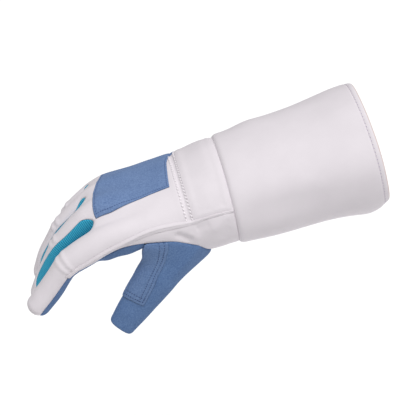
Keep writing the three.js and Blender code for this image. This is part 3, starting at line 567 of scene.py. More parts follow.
def finger_vertex(i, row, s, band, k):
    finger = FINGERS[i]
    if k == COUNTS[band]:
        return finger_vertex(i, row, s, NEXT[band], 0)
    if i == 0 and band == "near" and strip_angles(i, s)[1] < 1:
        return finger_vertex(i, row, s, "back", 0)
    if i == LAST and band == "far":
        return finger_vertex(i, row, s, "palm", 0)
    far_side = i < LAST and (band == "far" or (band == "palm" and k == 0))
    near_side = i > 0 and (band == "near" or (band == "back" and k == 0))
    share = slant_share(i, band, k / COUNTS[band])
    if row == 0 and far_side:
        return vertex(("web", i, round(share, 3)), lambda: web_point(i, share))
    if row == 0 and near_side:
        return vertex(("web", i - 1, round(share, 3)), lambda: web_point(i - 1, share))
    own = slanted(finger, s, share)
    turn = column_turn(i, own, band, k / COUNTS[band])
    if s >= finger["end"] and (far_side or (i == LAST and band == "palm" and k == 0)):
        return vertex(("far pole", i), lambda: finger_point(finger, s, 180))
    if s >= finger["end"] and (band == "near" or (band == "back" and k == 0)):
        return vertex(("near pole", i), lambda: finger_point(finger, s, 0))

    def make():
        free = finger_point(finger, own, turn)
        if not (far_side or near_side):
            return free
        start = slanted(finger, WEB, share)
        way = free - finger_point(finger, start, turn)
        apart = math.sqrt(smooth((own - start) / WEB_ROUND))
        return mix(web_point(i if far_side else i - 1, share) + way, free, apart)

    return vertex(("finger", i, row, band, k), make)


print("first web:", web_point(0, 0).round(1))

# %% [markdown]
# A glove's back panel wraps over each fingertip and meets the palm's suede under it. The tip is a half ball
# of rows that turn about its two side points, so the back and the palm share it as on the real glove.

# %% Fingers
def add_finger(i):
    finger = FINGERS[i]
    rows = finger_rows(finger)
    strips = [("back", "back_panel"), ("palm", "palm_panel")]
    strips += [("far", gusset_name(i))] if i < LAST else []
    strips += [("near", "side_panel" if i == 0 else gusset_name(i - 1))]
    for band, label in strips:
        for row in range(len(rows) - 1):
            for k in range(COUNTS[band]):
                corners = [(row, k), (row, k + 1), (row + 1, k + 1), (row + 1, k)]
                face(label, *[finger_vertex(i, r, rows[r], band, c) for r, c in corners])

    def tip_vertex(side, turn_row, k):
        count = COUNTS[side]
        if turn_row == 0:
            return finger_vertex(i, len(rows) - 1, rows[-1], side, k)
        from_thumb = k if side == "back" else count - k
        if from_thumb == 0:
            return vertex(("near pole", i), lambda: finger_point(finger, finger["end"], 0))
        if from_thumb == count:
            return vertex(("far pole", i), lambda: finger_point(finger, finger["end"], 180))
        whole = TIP_TURN if side == "back" else 180 - TIP_TURN
        turned = whole * turn_row / TIP_ROWS
        tip = turned if side == "back" else 180 - turned
        if side == "palm" and turn_row == TIP_ROWS:
            return tip_vertex("back", TIP_ROWS, round(from_thumb / count * BACK_COLUMNS))
        turn = 180 * from_thumb / count
        return vertex(("tip", i, side, turn_row, k), lambda: finger_point(finger, finger["end"], turn, tip))

    for side in ("back", "palm"):
        for row in range(TIP_ROWS):
            for k in range(COUNTS[side]):
                corners = [(row, k), (row, k + 1), (row + 1, k + 1), (row + 1, k)]
                face(f"{side}_panel", *[tip_vertex(side, r, c) for r, c in corners])


print("rows along the index finger:", len(finger_rows(FINGERS[0])))

# %% [markdown]
# Between the cuff and the webs the skin is one loop of columns. Its first rows are sections of the sleeve,
# down to the patch on the back. From there each row is mixed with the lines of the fingers beyond it, so that
# the knuckles already show on the hand. On the palm the pads before the fingers hang down a little.

# %% The hand between the cuff and the webs
CUFF_TUCK = 0.2  # how far the wrist ends before the cuff's seam
PAD_START, PAD_RISE, PAD_END, PAD_FALL = 0.35, 0.3, 0.82, 0.18  # shares of the hand's length
LOOP = [(i, "back", k) for i in range(4) for k in range(BACK_COLUMNS)]
LOOP += [(i, "palm", k) for i in range(LAST, -1, -1) for k in range(PALM_COLUMNS)]
LOOP += [(0, "near", k) for k in range(STRIP_COLUMNS)]
BACK_COUNT, PALM_COUNT = 4 * BACK_COLUMNS, 4 * PALM_COLUMNS
steps = [(CUFF_START - CUFF_TUCK, 0.0)] + [(mix(CUFF_START, HEEL, share), 0.0) for share in (0.35, 0.7)]
steps += [(HEEL, 0.0), (BAND_START, 0.0), (BAND_START - BAND_WIDTH / 2, BAND_DIP)]
steps += [(BAND_START - BAND_WIDTH, 0.0), (PATCH_START, 0.0)]
SLEEVE_ROWS = []
for here, after in zip(steps, steps[1:]):
    SLEEVE_ROWS += [tuple(mix(a, b, k / FINER) for a, b in zip(here, after)) for k in range(FINER)]
SLEEVE_ROWS.append(steps[-1])
HEEL_ROW, BAND_ROWS, HAND_START = 3 * FINER, (4 * FINER, 6 * FINER), len(SLEEVE_ROWS) - 1
WEB_ROW = HAND_START + HAND_ROWS


def loop_turn(n, x):
    s = section_at(x)
    if n < BACK_COUNT:
        return mix(s["ridge"], 180, n / BACK_COUNT)
    if n < BACK_COUNT + PALM_COUNT:
        return mix(180, 360 + s["edge"], (n - BACK_COUNT) / PALM_COUNT)
    return mix(360 + s["edge"], 360 + s["ridge"], (n - BACK_COUNT - PALM_COUNT) / STRIP_COLUMNS)


print("columns of the hand:", len(LOOP), "rows to the webs:", WEB_ROW)


# %% Vertices of the hand
def hand_vertex(row, column):
    n = column % len(LOOP)
    i, band, k = LOOP[n]
    if row == WEB_ROW:
        return finger_vertex(i, 0, WEB, band, k)
    if row <= HAND_START:
        x, dip = SLEEVE_ROWS[row]
        drawn = dip if 0 < n < BACK_COUNT else 0
        return vertex(("sleeve", row, n), lambda: sleeve_point(x, loop_turn(n, x), -drawn))

    def make():
        web = points[finger_vertex(i, 0, WEB, band, k)]
        t = (row - HAND_START) / HAND_ROWS
        x = mix(PATCH_START, web[0], t)
        beside = i
        if k == 0 and band == "back":
            beside = max(i - 1, 0)
        if k == 0 and band == "palm":
            beside = min(i + 1, LAST)
        moves = [FINGERS[j]["spine"].at_x(x) - FINGERS[j]["spine"].at_x(web[0]) for j in (i, beside)]
        on_finger = web + (moves[0] + moves[1]) / 2
        own = mix(sleeve_point(x, loop_turn(n, x)), on_finger, smooth((t - HAND_FREE) / (1 - HAND_FREE)))
        across = min(1.0, max(0.0, (n - BACK_COUNT) / PALM_COUNT))
        pad = smooth((t - PAD_START) / PAD_RISE) * (1 - smooth((t - PAD_END) / PAD_FALL))
        pad *= math.sqrt(max(0.0, math.sin(math.pi * across)))
        return own - np.array((0, 0, PALM_PAD * pad))

    return vertex(("sleeve", row, n), make)


print("the thumb side's seam starts at", points[hand_vertex(0, 0)].round(1))

# %% Faces of the hand
HOLE_ROWS = (HEEL_ROW, HAND_START + THUMB_HOLE_ROWS)
HOLE_COLUMNS = (BACK_COUNT + PALM_COUNT - THUMB_HOLE_COLUMNS, BACK_COUNT + PALM_COUNT)


def hand_label(row, n):
    if n < BACK_COUNT:
        return "wrist_back" if row < BAND_ROWS[0] else "wrist_band" if row < BAND_ROWS[1] else "back_panel"
    return "side_panel" if n >= BACK_COUNT + PALM_COUNT or row < HEEL_ROW else "palm_panel"


def add_hand():
    for row in range(WEB_ROW):
        for n in range(len(LOOP)):
            if HOLE_ROWS[0] <= row < HOLE_ROWS[1] and HOLE_COLUMNS[0] <= n < HOLE_COLUMNS[1]:
                continue
            corners = [(row, n), (row, n + 1), (row + 1, n + 1), (row + 1, n)]
            face(hand_label(row, n), *[hand_vertex(r, c) for r, c in corners])


print("the thumb's hole: rows", HOLE_ROWS, "columns", HOLE_COLUMNS)

# %% [markdown]
# The thumb is cut as one piece and sewn into a hole of the hand. It could be a separate tube pushed into the
# hand, but its seam would then be a plain intersection. So it grows out of the hole's own vertices: each
# column follows a Hermite curve from the hole's rim to the first ring of a flattened tube. The last rings
# close into the blunt, squared end.

# %% The thumb
# How far before the thumb's end a ring lies, as a share of its blunt length, and how wide it is.
BLUNT_RINGS = [(0.5, 0.99), (0.2, 0.94), (0.04, 0.84), (0, 0.66), (0, 0.33)]
thumb_grid = {}


def add_thumb():
    (near, far), (low, high) = HOLE_ROWS, HOLE_COLUMNS
    edge = [(near, n) for n in range(low, high)] + [(row, high) for row in range(near, far)]
    edge += [(far, n) for n in range(high, low, -1)] + [(row, low) for row in range(far, near, -1)]
    across, length, corner = high - low, far - near, THUMB_CORNER

    def turn_of(m):
        if m < across:
            return mix(-corner, corner, m / across)
        if m < across + length:
            return mix(corner, 180 - corner, (m - across) / length)
        if m < 2 * across + length:
            return mix(180 - corner, 180 + corner, (m - across - length) / across)
        return mix(180 + corner, 360 - corner, (m - 2 * across - length) / length)

    rim = [points[hand_vertex(row, n)] for row, n in edge]
    root = sum(rim) / len(rim)
    off = unit(np.array((0, root[1], root[2] - section_at(root[0])["lift"])))
    along = unit(THUMB_TIP - THUMB_START)
    wide = unit(np.cross(THUMB_FACE, along))
    thick = unit(np.cross(along, wide))
    straight = np.linalg.norm(THUMB_TIP - THUMB_START)

    def ring_point(share, scale, turn):
        w = mix(THUMB_HALF_WIDTH, THUMB_TIP_HALF_WIDTH, share) * scale
        h = mix(THUMB_HALF_THICKNESS, THUMB_TIP_HALF_THICKNESS, share) * scale
        c, n = math.cos(math.radians(turn)), math.sin(math.radians(turn))
        middle = THUMB_START + along * straight * share
        power = 2 / SECTION_POWER
        return middle + wide * w * curve_of(c, power) + thick * h * curve_of(n, power)

    blunt = THUMB_BLUNT / straight
    rings = [(mix(0, 1 - blunt, k / THUMB_ROWS), 1.0) for k in range(THUMB_ROWS + 1)]
    rings += [(1 - blunt * before, width) for before, width in BLUNT_RINGS]
    last_row = THUMB_ROOT_ROWS + len(rings) - 1

    def thumb_vertex(row, m):
        column = m % len(edge)
        if row == 0:
            return hand_vertex(*edge[column])
        if row > last_row:
            return vertex("thumb end", lambda: ring_point(1, 0, 0))

        def make():
            if row >= THUMB_ROOT_ROWS:
                return ring_point(*rings[row - THUMB_ROOT_ROWS], turn_of(column))
            t = row / THUMB_ROOT_ROWS
            out = unit(along + off * THUMB_ROOT_LIFT)
            return (
                rim[column] * (2 * t**3 - 3 * t**2 + 1)
                + out * (t**3 - 2 * t**2 + t) * THUMB_ROOT_PULL
                + ring_point(0, 1, turn_of(column)) * (3 * t**2 - 2 * t**3)
                + along * (t**3 - t**2) * THUMB_END_PULL
            )

        return vertex(("thumb", row, column), make)

    for row in range(last_row + 1):
        for m in range(len(edge)):
            corners = [(row, m), (row, m + 1), (row + 1, m + 1), (row + 1, m)]
            face("thumb", *[thumb_vertex(r, c) for r, c in corners])
            thumb_grid[row, m] = thumb_vertex(row, m)


print("thumb:", THUMB_START, "to", THUMB_TIP)

# %% The whole skin
add_hand()
for i in range(len(FINGERS)):
    add_finger(i)
add_thumb()
points = np.array(points)
print("skin:", len(points), "vertices,", len(faces), "faces")

# %% [markdown]
# ## From skin to sewn cloth
# A panel is cut from cloth that has a thickness, and its edge is pulled down into the seam, with a soft swell
# beside it, as foam-backed knit does. A cloth simulation could find that. Moving the points near an edge
# along their normals gives the same look, and the same one each time. Subdivision Surface smooths the panel
# before that, and Solidify gives it its wall afterwards, inwards as in the solids.

# %% Tools for meshes
RENDER_LEVELS = 2


def linked(name, mesh):
    piece = bpy.data.objects.new(name, mesh)
    bpy.context.collection.objects.link(piece)
    return piece


def applied(piece):
    graph = bpy.context.evaluated_depsgraph_get()
    made = bpy.data.meshes.new_from_object(piece.evaluated_get(graph))
    piece.modifiers.clear()
    old, piece.data = piece.data, made
    made.name = piece.name
    bpy.data.meshes.remove(old)
    return piece


def walled(piece, wall, material):
    piece.data.materials.append(material)
    solid = piece.modifiers.new("wall", "SOLIDIFY")
    solid.thickness = wall * MM
    solid.offset = -1
    return applied(piece)


print("levels of smoothing:", RENDER_LEVELS)


# %% Tools for points and surfaces
def coordinates(mesh):
    flat = np.empty(len(mesh.vertices) * 3)
    mesh.vertices.foreach_get("co", flat)
    return flat.reshape(-1, 3) / MM


def outward(mesh):
    flat = np.empty(len(mesh.vertices) * 3)
    mesh.vertex_normals.foreach_get("vector", flat)
    return flat.reshape(-1, 3)


def store(mesh, where):
    mesh.vertices.foreach_set("co", (where * MM).ravel())
    mesh.update()


def tree_of(piece):
    corners = [Vector(p) for p in coordinates(piece.data)]
    return BVHTree.FromPolygons(corners, [list(f.vertices) for f in piece.data.polygons])


def edge_points(mesh):
    uses = {}
    for polygon in mesh.polygons:
        for key in polygon.edge_keys:
            uses[key] = uses.get(key, 0) + 1
    return sorted({v for key, n in uses.items() if n == 1 for v in key})


def places_tree(places):
    tree = KDTree(len(places))
    for k, p in enumerate(places):
        tree.insert(p, k)
    tree.balance()
    return tree


def distance_to(chosen, where):
    tree = places_tree(chosen)
    return np.array([tree.find(p)[2] for p in where])


def surface_of(piece):
    return sum(f.area for f in piece.data.polygons)


print("a point's distance from a corner:", distance_to([(0, 0, 0)], [(3, 4, 0)]))

# %% The shape of a seam
SWELL_AT, SWELL_SPREAD = 2.2, 1.3  # in widths of the seam


def seam_shape(distance, depth, width, swell):
    down = -depth * np.clip(1 - distance / width, 0, 1) ** 2
    beside = swell * np.exp(-(((distance - SWELL_AT * width) / (SWELL_SPREAD * width)) ** 2))
    return down + beside


print("seam at 0, 2 and 4 mm from it:", seam_shape(np.array([0, 2, 4]), 0.5, 1.4, 0.1).round(2))

# %% Finish a piece
built, surfaces, areas = {}, {}, {}


def finish(piece, material, slot, stands_for):
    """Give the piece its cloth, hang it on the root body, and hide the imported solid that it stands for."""
    piece.data.materials.clear()
    piece.data.materials.append(material)
    piece.data.polygons.foreach_set("material_index", [0] * len(piece.data.polygons))
    piece.data.polygons.foreach_set("use_smooth", [True] * len(piece.data.polygons))
    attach(piece, "root")
    if stands_for:
        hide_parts(stands_for)
    built[piece.name] = piece
    print(piece.name, len(piece.data.polygons), "faces")
    return piece


print("pieces so far:", len(built))

# %% [markdown]
# Worn cloth folds where it has too much room: beside the thumb, and where two fingers part. A sculpted fold
# would be freer. Here each fold is a soft line from one point to another with a height and a half width,
# because a table of lines can be compared with the photograph and changed. The cloth is also a little slack
# everywhere, which a broad noise gives.

# %% Folds and hollows of worn cloth
SLACK_SPACING, SLACK_MARGIN = 16, 6
FOLDS = {
    # start, end, height, half width
    "side_panel": [
        ((-34, -50, 8), (-20, -51, -4), -1.8, 3.2),
        ((16, -50, 12), (-3, -52, -2), 0.9, 3.5),
        ((14, -52, -2), (4, -52, -12), -0.9, 5.0),
        ((-2, -50, 9), (-16, -51, 6), -0.9, 3.5),
        ((-24, -50, 6), (-12, -51, -6), 0.6, 4.0),
    ],
    "wrist_back": [
        ((0, -47, 18), (4, -30, 36), 0.5, 6.0),
    ],
    "back_panel": [
        ((-40, -46, 24), (-80, -43, 22), 0.4, 7.0),
    ],
    "thumb": [
        ((-60, -47, -22), (-46, -52, -38), -1.2, 3.5),
        ((-46, -44, -30), (-40, -48, -38), 0.6, 4.0),
    ],
}
GUSSETS = [gusset_name(i) for i in range(LAST)]
for i, name in enumerate(GUSSETS):
    FOLDS[name] = [(web_point(i, 0.05), web_point(i, 0.6), -1.3, 1.0)]


def fold_height(name, where):
    height = np.zeros(len(where))
    for start, end, tall, half in FOLDS.get(name, ()):
        a, b = np.array(start, float), np.array(end, float)
        t = np.clip((where - a) @ (b - a) / ((b - a) @ (b - a)), 0, 1)
        gap = np.linalg.norm(where - (a + t[:, None] * (b - a)), axis=1)
        ease = np.clip(np.minimum(t, 1 - t) * 6, 0.15, 1)
        height += tall * ease * np.exp(-((gap / half) ** 2))
    return height


def slack(where, size, seed):
    aside = Vector((seed, 0, 0))
    return np.array([size * noise_field.noise(Vector(p / SLACK_SPACING) + aside) for p in where])


print("folds:", sum(len(lines) for lines in FOLDS.values()))

# %% [markdown]
# Each row of the table is one sewn piece with its cloth, its wall and the shape of its seams. The turquoise
# strips also get a UV map in millimetres, across the strip in u and along the finger in v, for their ribs.

# %% Panels of the hand
PANELS = [
    # name, cloth, wall, seam depth, seam width, swell, slack
    ("back_panel", white_knit, "white_knit", KNIT_WALL, 0.2, 1.4, 0.1, 0.35),
    ("wrist_back", white_knit, "white_knit", KNIT_WALL, 0.1, 2.0, 0.55, 0.4),
    ("wrist_band", white_knit, "white_knit", KNIT_WALL, 0.05, 0.8, 0.0, 0.1),
    ("side_panel", white_knit, "white_knit", KNIT_WALL, 0.45, 2.0, 0.1, 0.5),
    ("palm_panel", palm_suede, "blue_suede", SUEDE_WALL, 0.6, 1.6, 0.15, 0.5),
    ("thumb", palm_suede, "blue_suede", SUEDE_WALL, 0.5, 1.4, 0.1, 0.5),
    ("gusset_index_middle", turquoise_mesh, "turquoise_mesh", MESH_WALL, 0.5, 1.0, 0.0, 0.2),
    ("gusset_middle_ring", turquoise_mesh, "turquoise_mesh", MESH_WALL, 0.5, 1.0, 0.0, 0.2),
    ("gusset_ring_little", turquoise_mesh, "turquoise_mesh", MESH_WALL, 0.5, 1.0, 0.0, 0.2),
]
smoothed = []
for name, *_ in PANELS:
    chosen = [ring for label, ring in faces if label == name]
    used = sorted({v for ring in chosen for v in ring})
    number = {v: k for k, v in enumerate(used)}
    mesh = bpy.data.meshes.new(name)
    rings = [[number[v] for v in ring] for ring in chosen]
    mesh.from_pydata([tuple(points[v] * MM) for v in used], [], rings)
    if name in GUSSETS:
        layer = mesh.uv_layers.new(name="Cloth")
        spine = FINGERS[GUSSETS.index(name)]["spine"]
        lengths = [spine.lengths[np.linalg.norm(spine.line - points[v], axis=1).argmin()] for v in used]
        for loop in mesh.loops:
            layer.data[loop.index].uv = (points[used[loop.vertex_index]][1], lengths[loop.vertex_index])
    piece = linked(name + "_cloth", mesh)
    smoothing = piece.modifiers.new("smooth", "SUBSURF")
    smoothing.levels = smoothing.render_levels = RENDER_LEVELS
    smoothing.boundary_smooth = "PRESERVE_CORNERS"
    applied(piece)
    smoothed.append(piece)

print("panels:", len(smoothed))

# %% [markdown]
# Two panels meet in the same points, but each has its own normal there, and moved along those they would
# leave a crack. So all points that lie in one place share one direction, the mean of their normals.

# %% Seams, folds and walls
SAME_PLACE = 0.05 * MM
meeting = [(piece, v) for piece in smoothed for v in edge_points(piece.data)]
spots = np.array([piece.data.vertices[v].co[:] for piece, v in meeting])
ways = np.array([piece.data.vertices[v].normal[:] for piece, v in meeting])
tree = places_tree(spots)
shared = np.array([unit(ways[[k for _, k, _ in tree.find_range(p, SAME_PLACE)]].sum(0)) for p in spots])
for seed, (piece, row) in enumerate(zip(smoothed, PANELS)):
    name, material, slot, wall, depth, width, swell, loose = row
    where, normal = coordinates(piece.data), outward(piece.data)
    for (owner, v), way in zip(meeting, shared):
        if owner == piece:
            normal[v] = way
    rim_distance = distance_to(where[edge_points(piece.data)], where)
    height = seam_shape(rim_distance, depth, width, swell)
    height += fold_height(name, where)
    height += slack(where, loose, seed) * np.clip(rim_distance / SLACK_MARGIN, 0, 1)
    store(piece.data, where + normal * height[:, None])
    areas[piece.name] = surface_of(piece)
    surfaces[name] = tree_of(piece)
    finish(walled(piece, wall, material), material, slot, name)

# %% [markdown]
# ## The cuff
# The cuff is a cone of the same knit, two layers thick, whose front edge is folded over the wrist. It could
# be a spun profile, but a spun cuff is perfectly round, and one that stands by itself never is. So its rings
# follow the sleeve's sections, and broad hollows from a table move them in and out.

# %% Rings of the cuff
CUFF_COLUMNS = 96
CUFF_HOLLOWS = [
    # x, turn, height, reach along x, reach in degrees
    (134, 52, -2.4, 20, 16),
    (112, 20, 1.0, 30, 16),
    (66, 6, -1.3, 34, 11),
    (58, 30, 0.8, 34, 14),
    (100, -14, -1.2, 30, 14),
    (34, 120, -0.8, 7, 26),
    (54, 122, 1.6, 11, 26),
    (136, -52, 2.0, 12, 28),
    (153, -52, -6.5, 9, 26),
    (152, 98, 2.6, 12, 16),
    (153, 128, -1.6, 6, 14),
    (70, 200, -1.4, 30, 30),
    (100, 260, -1.6, 32, 28),
]


def cuff_point(x, turn, out):
    for at, angle, height, reach, width in CUFF_HOLLOWS:
        off = (turn - angle + 180) % 360 - 180
        out += height * math.exp(-(((x - at) / reach) ** 2) - (off / width) ** 2)
    return sleeve_point(x, turn, out)


def ring_piece(name, profile):
    """A closed tube of cloth: every point of the profile, (x, out), becomes a ring round the sleeve."""
    turns = [360 * k / CUFF_COLUMNS for k in range(CUFF_COLUMNS)]
    rows = [cuff_point(x, turn, out) * MM for x, out in profile for turn in turns]
    rings = []
    for row in range(len(profile)):
        after = (row + 1) % len(profile)
        for k in range(CUFF_COLUMNS):
            beside = (k + 1) % CUFF_COLUMNS
            corners = ((row, k), (row, beside), (after, beside), (after, k))
            rings.append([n * CUFF_COLUMNS + c for n, c in corners])
    mesh = bpy.data.meshes.new(name)
    mesh.from_pydata([tuple(p) for p in rows], [], rings)
    piece = linked(name, mesh)
    smoothing = piece.modifiers.new("smooth", "SUBSURF")
    smoothing.levels = smoothing.render_levels = 1
    return applied(piece)


print("hollows of the cuff:", len(CUFF_HOLLOWS))

# %% [markdown]
# The profile of a piece is one closed line: out along the outside, round the edge and back along the inside.
# Each of its points is a place along X and a distance out of the sleeve. The hem is a second tube that wraps
# the cuff's open edge.

# %% Cuff and hem
hem_start = CUFF_END - BINDING_WIDTH
lengths = [mix(CUFF_START + 7, hem_start - 3, k / 12) for k in range(13)]
profile = [(CUFF_START - 0.7, -0.9), (CUFF_START - 0.15, 0.1), (CUFF_START + 1.2, 1.2)]
profile += [(CUFF_START + 3.6, CUFF_STEP)] + [(x, 0.9 if k == 0 else 0.25) for k, x in enumerate(lengths)]
profile += [(hem_start - 0.6, 0.22), (hem_start, 0.0), (hem_start, -CUFF_WALL)]
profile += [(x, -CUFF_WALL) for x in reversed(lengths)] + [(CUFF_START + 0.2, -CUFF_WALL)]
cuff = finish(ring_piece("cuff_cloth", profile), white_knit, "white_knit", "cuff")
hem_profile = [(hem_start - 0.5, -CUFF_WALL - 0.2), (hem_start - 0.5, -0.5), (hem_start + 0.3, 0.16)]
hem_profile += [(hem_start + 2.2, 0.3), (CUFF_END - 1.4, 0.15), (CUFF_END - 0.2, -0.7)]
hem_profile += [(CUFF_END, -CUFF_WALL / 2), (CUFF_END - 0.2, -CUFF_WALL + 0.3)]
hem_profile += [(CUFF_END - 1.4, -CUFF_WALL - 0.5), (hem_start + 2.2, -CUFF_WALL - 0.6)]
hem = finish(ring_piece("hem_cloth", hem_profile), hem_tape, "hem_tape", "cuff_binding")

# %% [markdown]
# ## Pieces that lie on the panels
# The raised side seam and the two suede patches are sewn on top of other cloth. A Shrinkwrap modifier could
# lay a flat piece down. Here every point of a grid is put on the panels' outer surface by a nearest-point
# search, because its place in the pattern is then known for the stitches too. A patch's edge is pressed down
# a little, and so is the suede along its stitches, 2 mm inside the edge. Its rim shows the darker cut edge.

# %% Grids on the cloth
def on_skin(names, p):
    """The nearest point of these panels' outer surfaces, and the direction out of them there."""
    found = [surfaces[name].find_nearest(Vector(p)) for name in names]
    spot, normal, _, _ = min(found, key=lambda hit: hit[3])
    return np.array(spot), np.array(normal)


def grid_piece(name, rows):
    """A sheet of quads from rows of points in millimetres."""
    width = len(rows[0])
    corners = [r * width + c for r in range(len(rows) - 1) for c in range(width - 1)]
    mesh = bpy.data.meshes.new(name)
    vertices = [tuple(np.array(p) * MM) for row in rows for p in row]
    mesh.from_pydata(vertices, [], [(n, n + 1, n + width + 1, n + width) for n in corners])
    return linked(name, mesh)


def even_line(line, count, rounds=0):
    """The line as so many evenly spaced points. Each round of smoothing keeps its ends."""
    line = np.array(line, float)
    for _ in range(rounds):
        line[1:-1] = (line[:-2] + 2 * line[1:-1] + line[2:]) / 4
    lengths = np.concatenate([[0], np.cumsum(np.linalg.norm(np.diff(line, axis=0), axis=1))])
    evenly = np.linspace(0, lengths[-1], count)
    return np.stack([np.interp(evenly, lengths, line[:, a]) for a in range(line.shape[1])], 1)


def grid(point, along, across):
    return [[point(u, v) for v in np.linspace(0, 1, across)] for u in np.linspace(0, 1, along)]


print("even points on a line:", len(even_line([(0, 0), (3, 4)], 6)))

# %% A laid patch
EDGE_PRESS, GROOVE_DEPTH, PRESS_WIDTH = 0.35, 0.3, 0.8


def laid(name, rows, lift, wall, groove, material, stands_for):
    """A patch of suede on the panels: lifted off them, pressed down at its edge and along its stitches."""
    piece = grid_piece(name, rows)
    where, normal = coordinates(piece.data), outward(piece.data)
    distance = distance_to(where[edge_points(piece.data)], where)
    height = lift - EDGE_PRESS * np.clip(1 - distance / PRESS_WIDTH, 0, 1) ** 2
    height -= GROOVE_DEPTH * np.exp(-(((distance - groove) / PRESS_WIDTH) ** 2))
    store(piece.data, where + normal * height[:, None])
    surfaces[name] = tree_of(piece)
    areas[name] = surface_of(piece)
    piece.data.materials.append(material)
    piece.data.materials.append(cut_edge)
    solid = piece.modifiers.new("wall", "SOLIDIFY")
    solid.thickness, solid.offset, solid.material_offset_rim = wall * MM, -1, 1
    applied(piece)
    rims = [f.material_index for f in piece.data.polygons]
    finish(piece, material, "blue_suede", stands_for)
    piece.data.materials.append(cut_edge)
    piece.data.polygons.foreach_set("material_index", rims)
    return piece


print("a patch's edge is pressed down by", EDGE_PRESS, "mm")

# %% [markdown]
# Along the thumb side the back panel is folded under and sewn to the white strip, which makes a soft raised
# line. At the wrist it is nearly flat, and it grows towards the knuckle. A swept tube would look like a cord,
# so the welt is a narrow sheet whose rows rise in the middle and sink into the cloth at their ends.

# %% The raised side seam
WELT_START, WELT_GROWTH, WELT_FADE = -2, 34, 6
WELT_HEIGHTS, WELT_HALF_WIDTHS, WELT_SINK = (0.12, 1.1), (1.2, 2.8), 0.1
WELT_POINTS, WELT_ROUNDS, WELT_SIDE = 160, 20, 6
seam_end = FINGERS[0]["bones"][0] + SIDE_STRIP_END
on_index = [(row, s) for row, s in enumerate(finger_rows(FINGERS[0])) if s <= seam_end]
seam = [points[hand_vertex(row, 0)] for row in range(WEB_ROW)]
seam += [points[finger_vertex(0, row, s, "back", 0)] for row, s in on_index]
line = even_line(even_line(seam, WELT_POINTS), WELT_POINTS, WELT_ROUNDS)
beside_seam = ("back_panel", "side_panel", "wrist_back", "wrist_band")
rows = []
for k, p in enumerate(line):
    along = unit(line[min(k + 1, len(line) - 1)] - line[max(k - 1, 0)])
    over = unit(np.cross(along, on_skin(beside_seam, p)[1]))
    grown = smooth((WELT_START - p[0]) / WELT_GROWTH)
    tall = mix(*WELT_HEIGHTS, grown) * min(1, (len(line) - 1 - k) / WELT_FADE + 0.1)
    half = mix(*WELT_HALF_WIDTHS, grown)
    row = []
    for j in range(-WELT_SIDE, WELT_SIDE + 1):
        base, way = on_skin(beside_seam, p + over * half * j / WELT_SIDE)
        row.append(base + way * (tall * math.cos(math.pi * j / WELT_SIDE / 2) ** 2 - WELT_SINK))
    rows.append(row[::-1])
welt = grid_piece("side_welt_cloth", rows)
areas[welt.name] = surface_of(welt)
walled(welt, 0.5, white_knit)
finish(welt, white_knit, "white_knit", "side_welt")

# %% [markdown]
# The patch on the back is one flat piece of suede with four slightly curved sides. Between them a Coons patch
# spreads the grid evenly. A trimmed mesh would follow the outline too, but its points would lie in no rows,
# and the stitches need those. The grid is drawn in plan and dropped on the hand from above.

# %% The patch on the back of the hand
# Its four sides in plan: at the wrist, along the thumb side, at the knuckles and along the little finger.
WRIST_SIDE = [(-25.8, -21.4), (-25, -12.7), (-23.9, -2), (-22.5, 12), (-19.6, 22.3), (-14, 33)]
THUMB_LINE = [(-25.8, -21.4), (-34.6, -21.4), (-43.7, -21.7), (-61.8, -24.2), (-80.5, -26.6), (-93.2, -26)]
KNUCKLE_SIDE = [(-93.2, -26), (-94.2, -23), (-92, -14), (-90.8, 0.6), (-85.8, 16.5), (-82, 38)]
FAR_LINE = [(-14, 33), (-30, 36), (-50, 38), (-68, 39), (-82, 38)]
ALONG, ACROSS = 73, 61
CORNER_ROUNDS = 6
RAY_HEIGHT = 120
plans = ((THUMB_LINE, ALONG), (FAR_LINE, ALONG), (WRIST_SIDE, ACROSS), (KNUCKLE_SIDE, ACROSS))
near_side, far_side, wrist, knuckles = [even_line(even_line(side, n), n, CORNER_ROUNDS) for side, n in plans]


def side_at(side, share):
    return np.array([np.interp(share * (len(side) - 1), range(len(side)), side[:, a]) for a in (0, 1)])


def patch_plan(u, v):
    """u runs from the wrist to the knuckles, v from the thumb side to the little finger's."""
    corners = (1 - u) * (1 - v) * wrist[0] + (1 - u) * v * wrist[-1]
    corners = corners + u * (1 - v) * knuckles[0] + u * v * knuckles[-1]
    along = (1 - v) * side_at(near_side, u) + v * side_at(far_side, u)
    return along + (1 - u) * side_at(wrist, v) + u * side_at(knuckles, v) - corners


def from_above(names, plan):
    """The highest point of the named panels under a place. A ray that falls on a seam goes beside it."""
    for aside in (0, 0.3, -0.3):
        start = Vector((plan[0] + aside, plan[1], RAY_HEIGHT))
        hits = [surfaces[name].ray_cast(start, Vector((0, 0, -1)))[0] for name in names]
        if any(hits):
            return np.array(max((hit for hit in hits if hit), key=lambda hit: hit[2]))


under_patch = ("back_panel", "wrist_band", "wrist_back")
rows = grid(lambda u, v: from_above(under_patch, patch_plan(u, v)), ALONG, ACROSS)
laid("back_patch_cloth", rows, 1.0, 0.85, 2.0, back_patch_suede, "back_patch")

# %% [markdown]
# The thumb's patch reinforces the side that rubs on the grip. Its outline is given in rows and columns of the
# thumb's own grid, so it turns round the thumb as cloth would. Its side edge runs across the broad face, and
# its other edge is hidden behind the thumb's narrow edge.

# %% The patch on the thumb
PATCH_EDGE = [(0, 20.3), (3, 19.2), (4.8, 18), (8.2, 15.8), (11.7, 14.3)]
PATCH_END = [(14.3, 11.7), (19.6, 12.1), (25, 12.5), (29, 12.6)]
PATCH_START_ROW, PATCH_CORNER_ROW, PATCH_BACK = 0.15, 11.7, 29


def on_thumb(row, column):
    r, c = int(row), int(column)
    four = [points[thumb_grid[r + i, c + j]] for i in (0, 1) for j in (0, 1)]
    return mix(mix(four[0], four[1], column - c), mix(four[2], four[3], column - c), row - r)


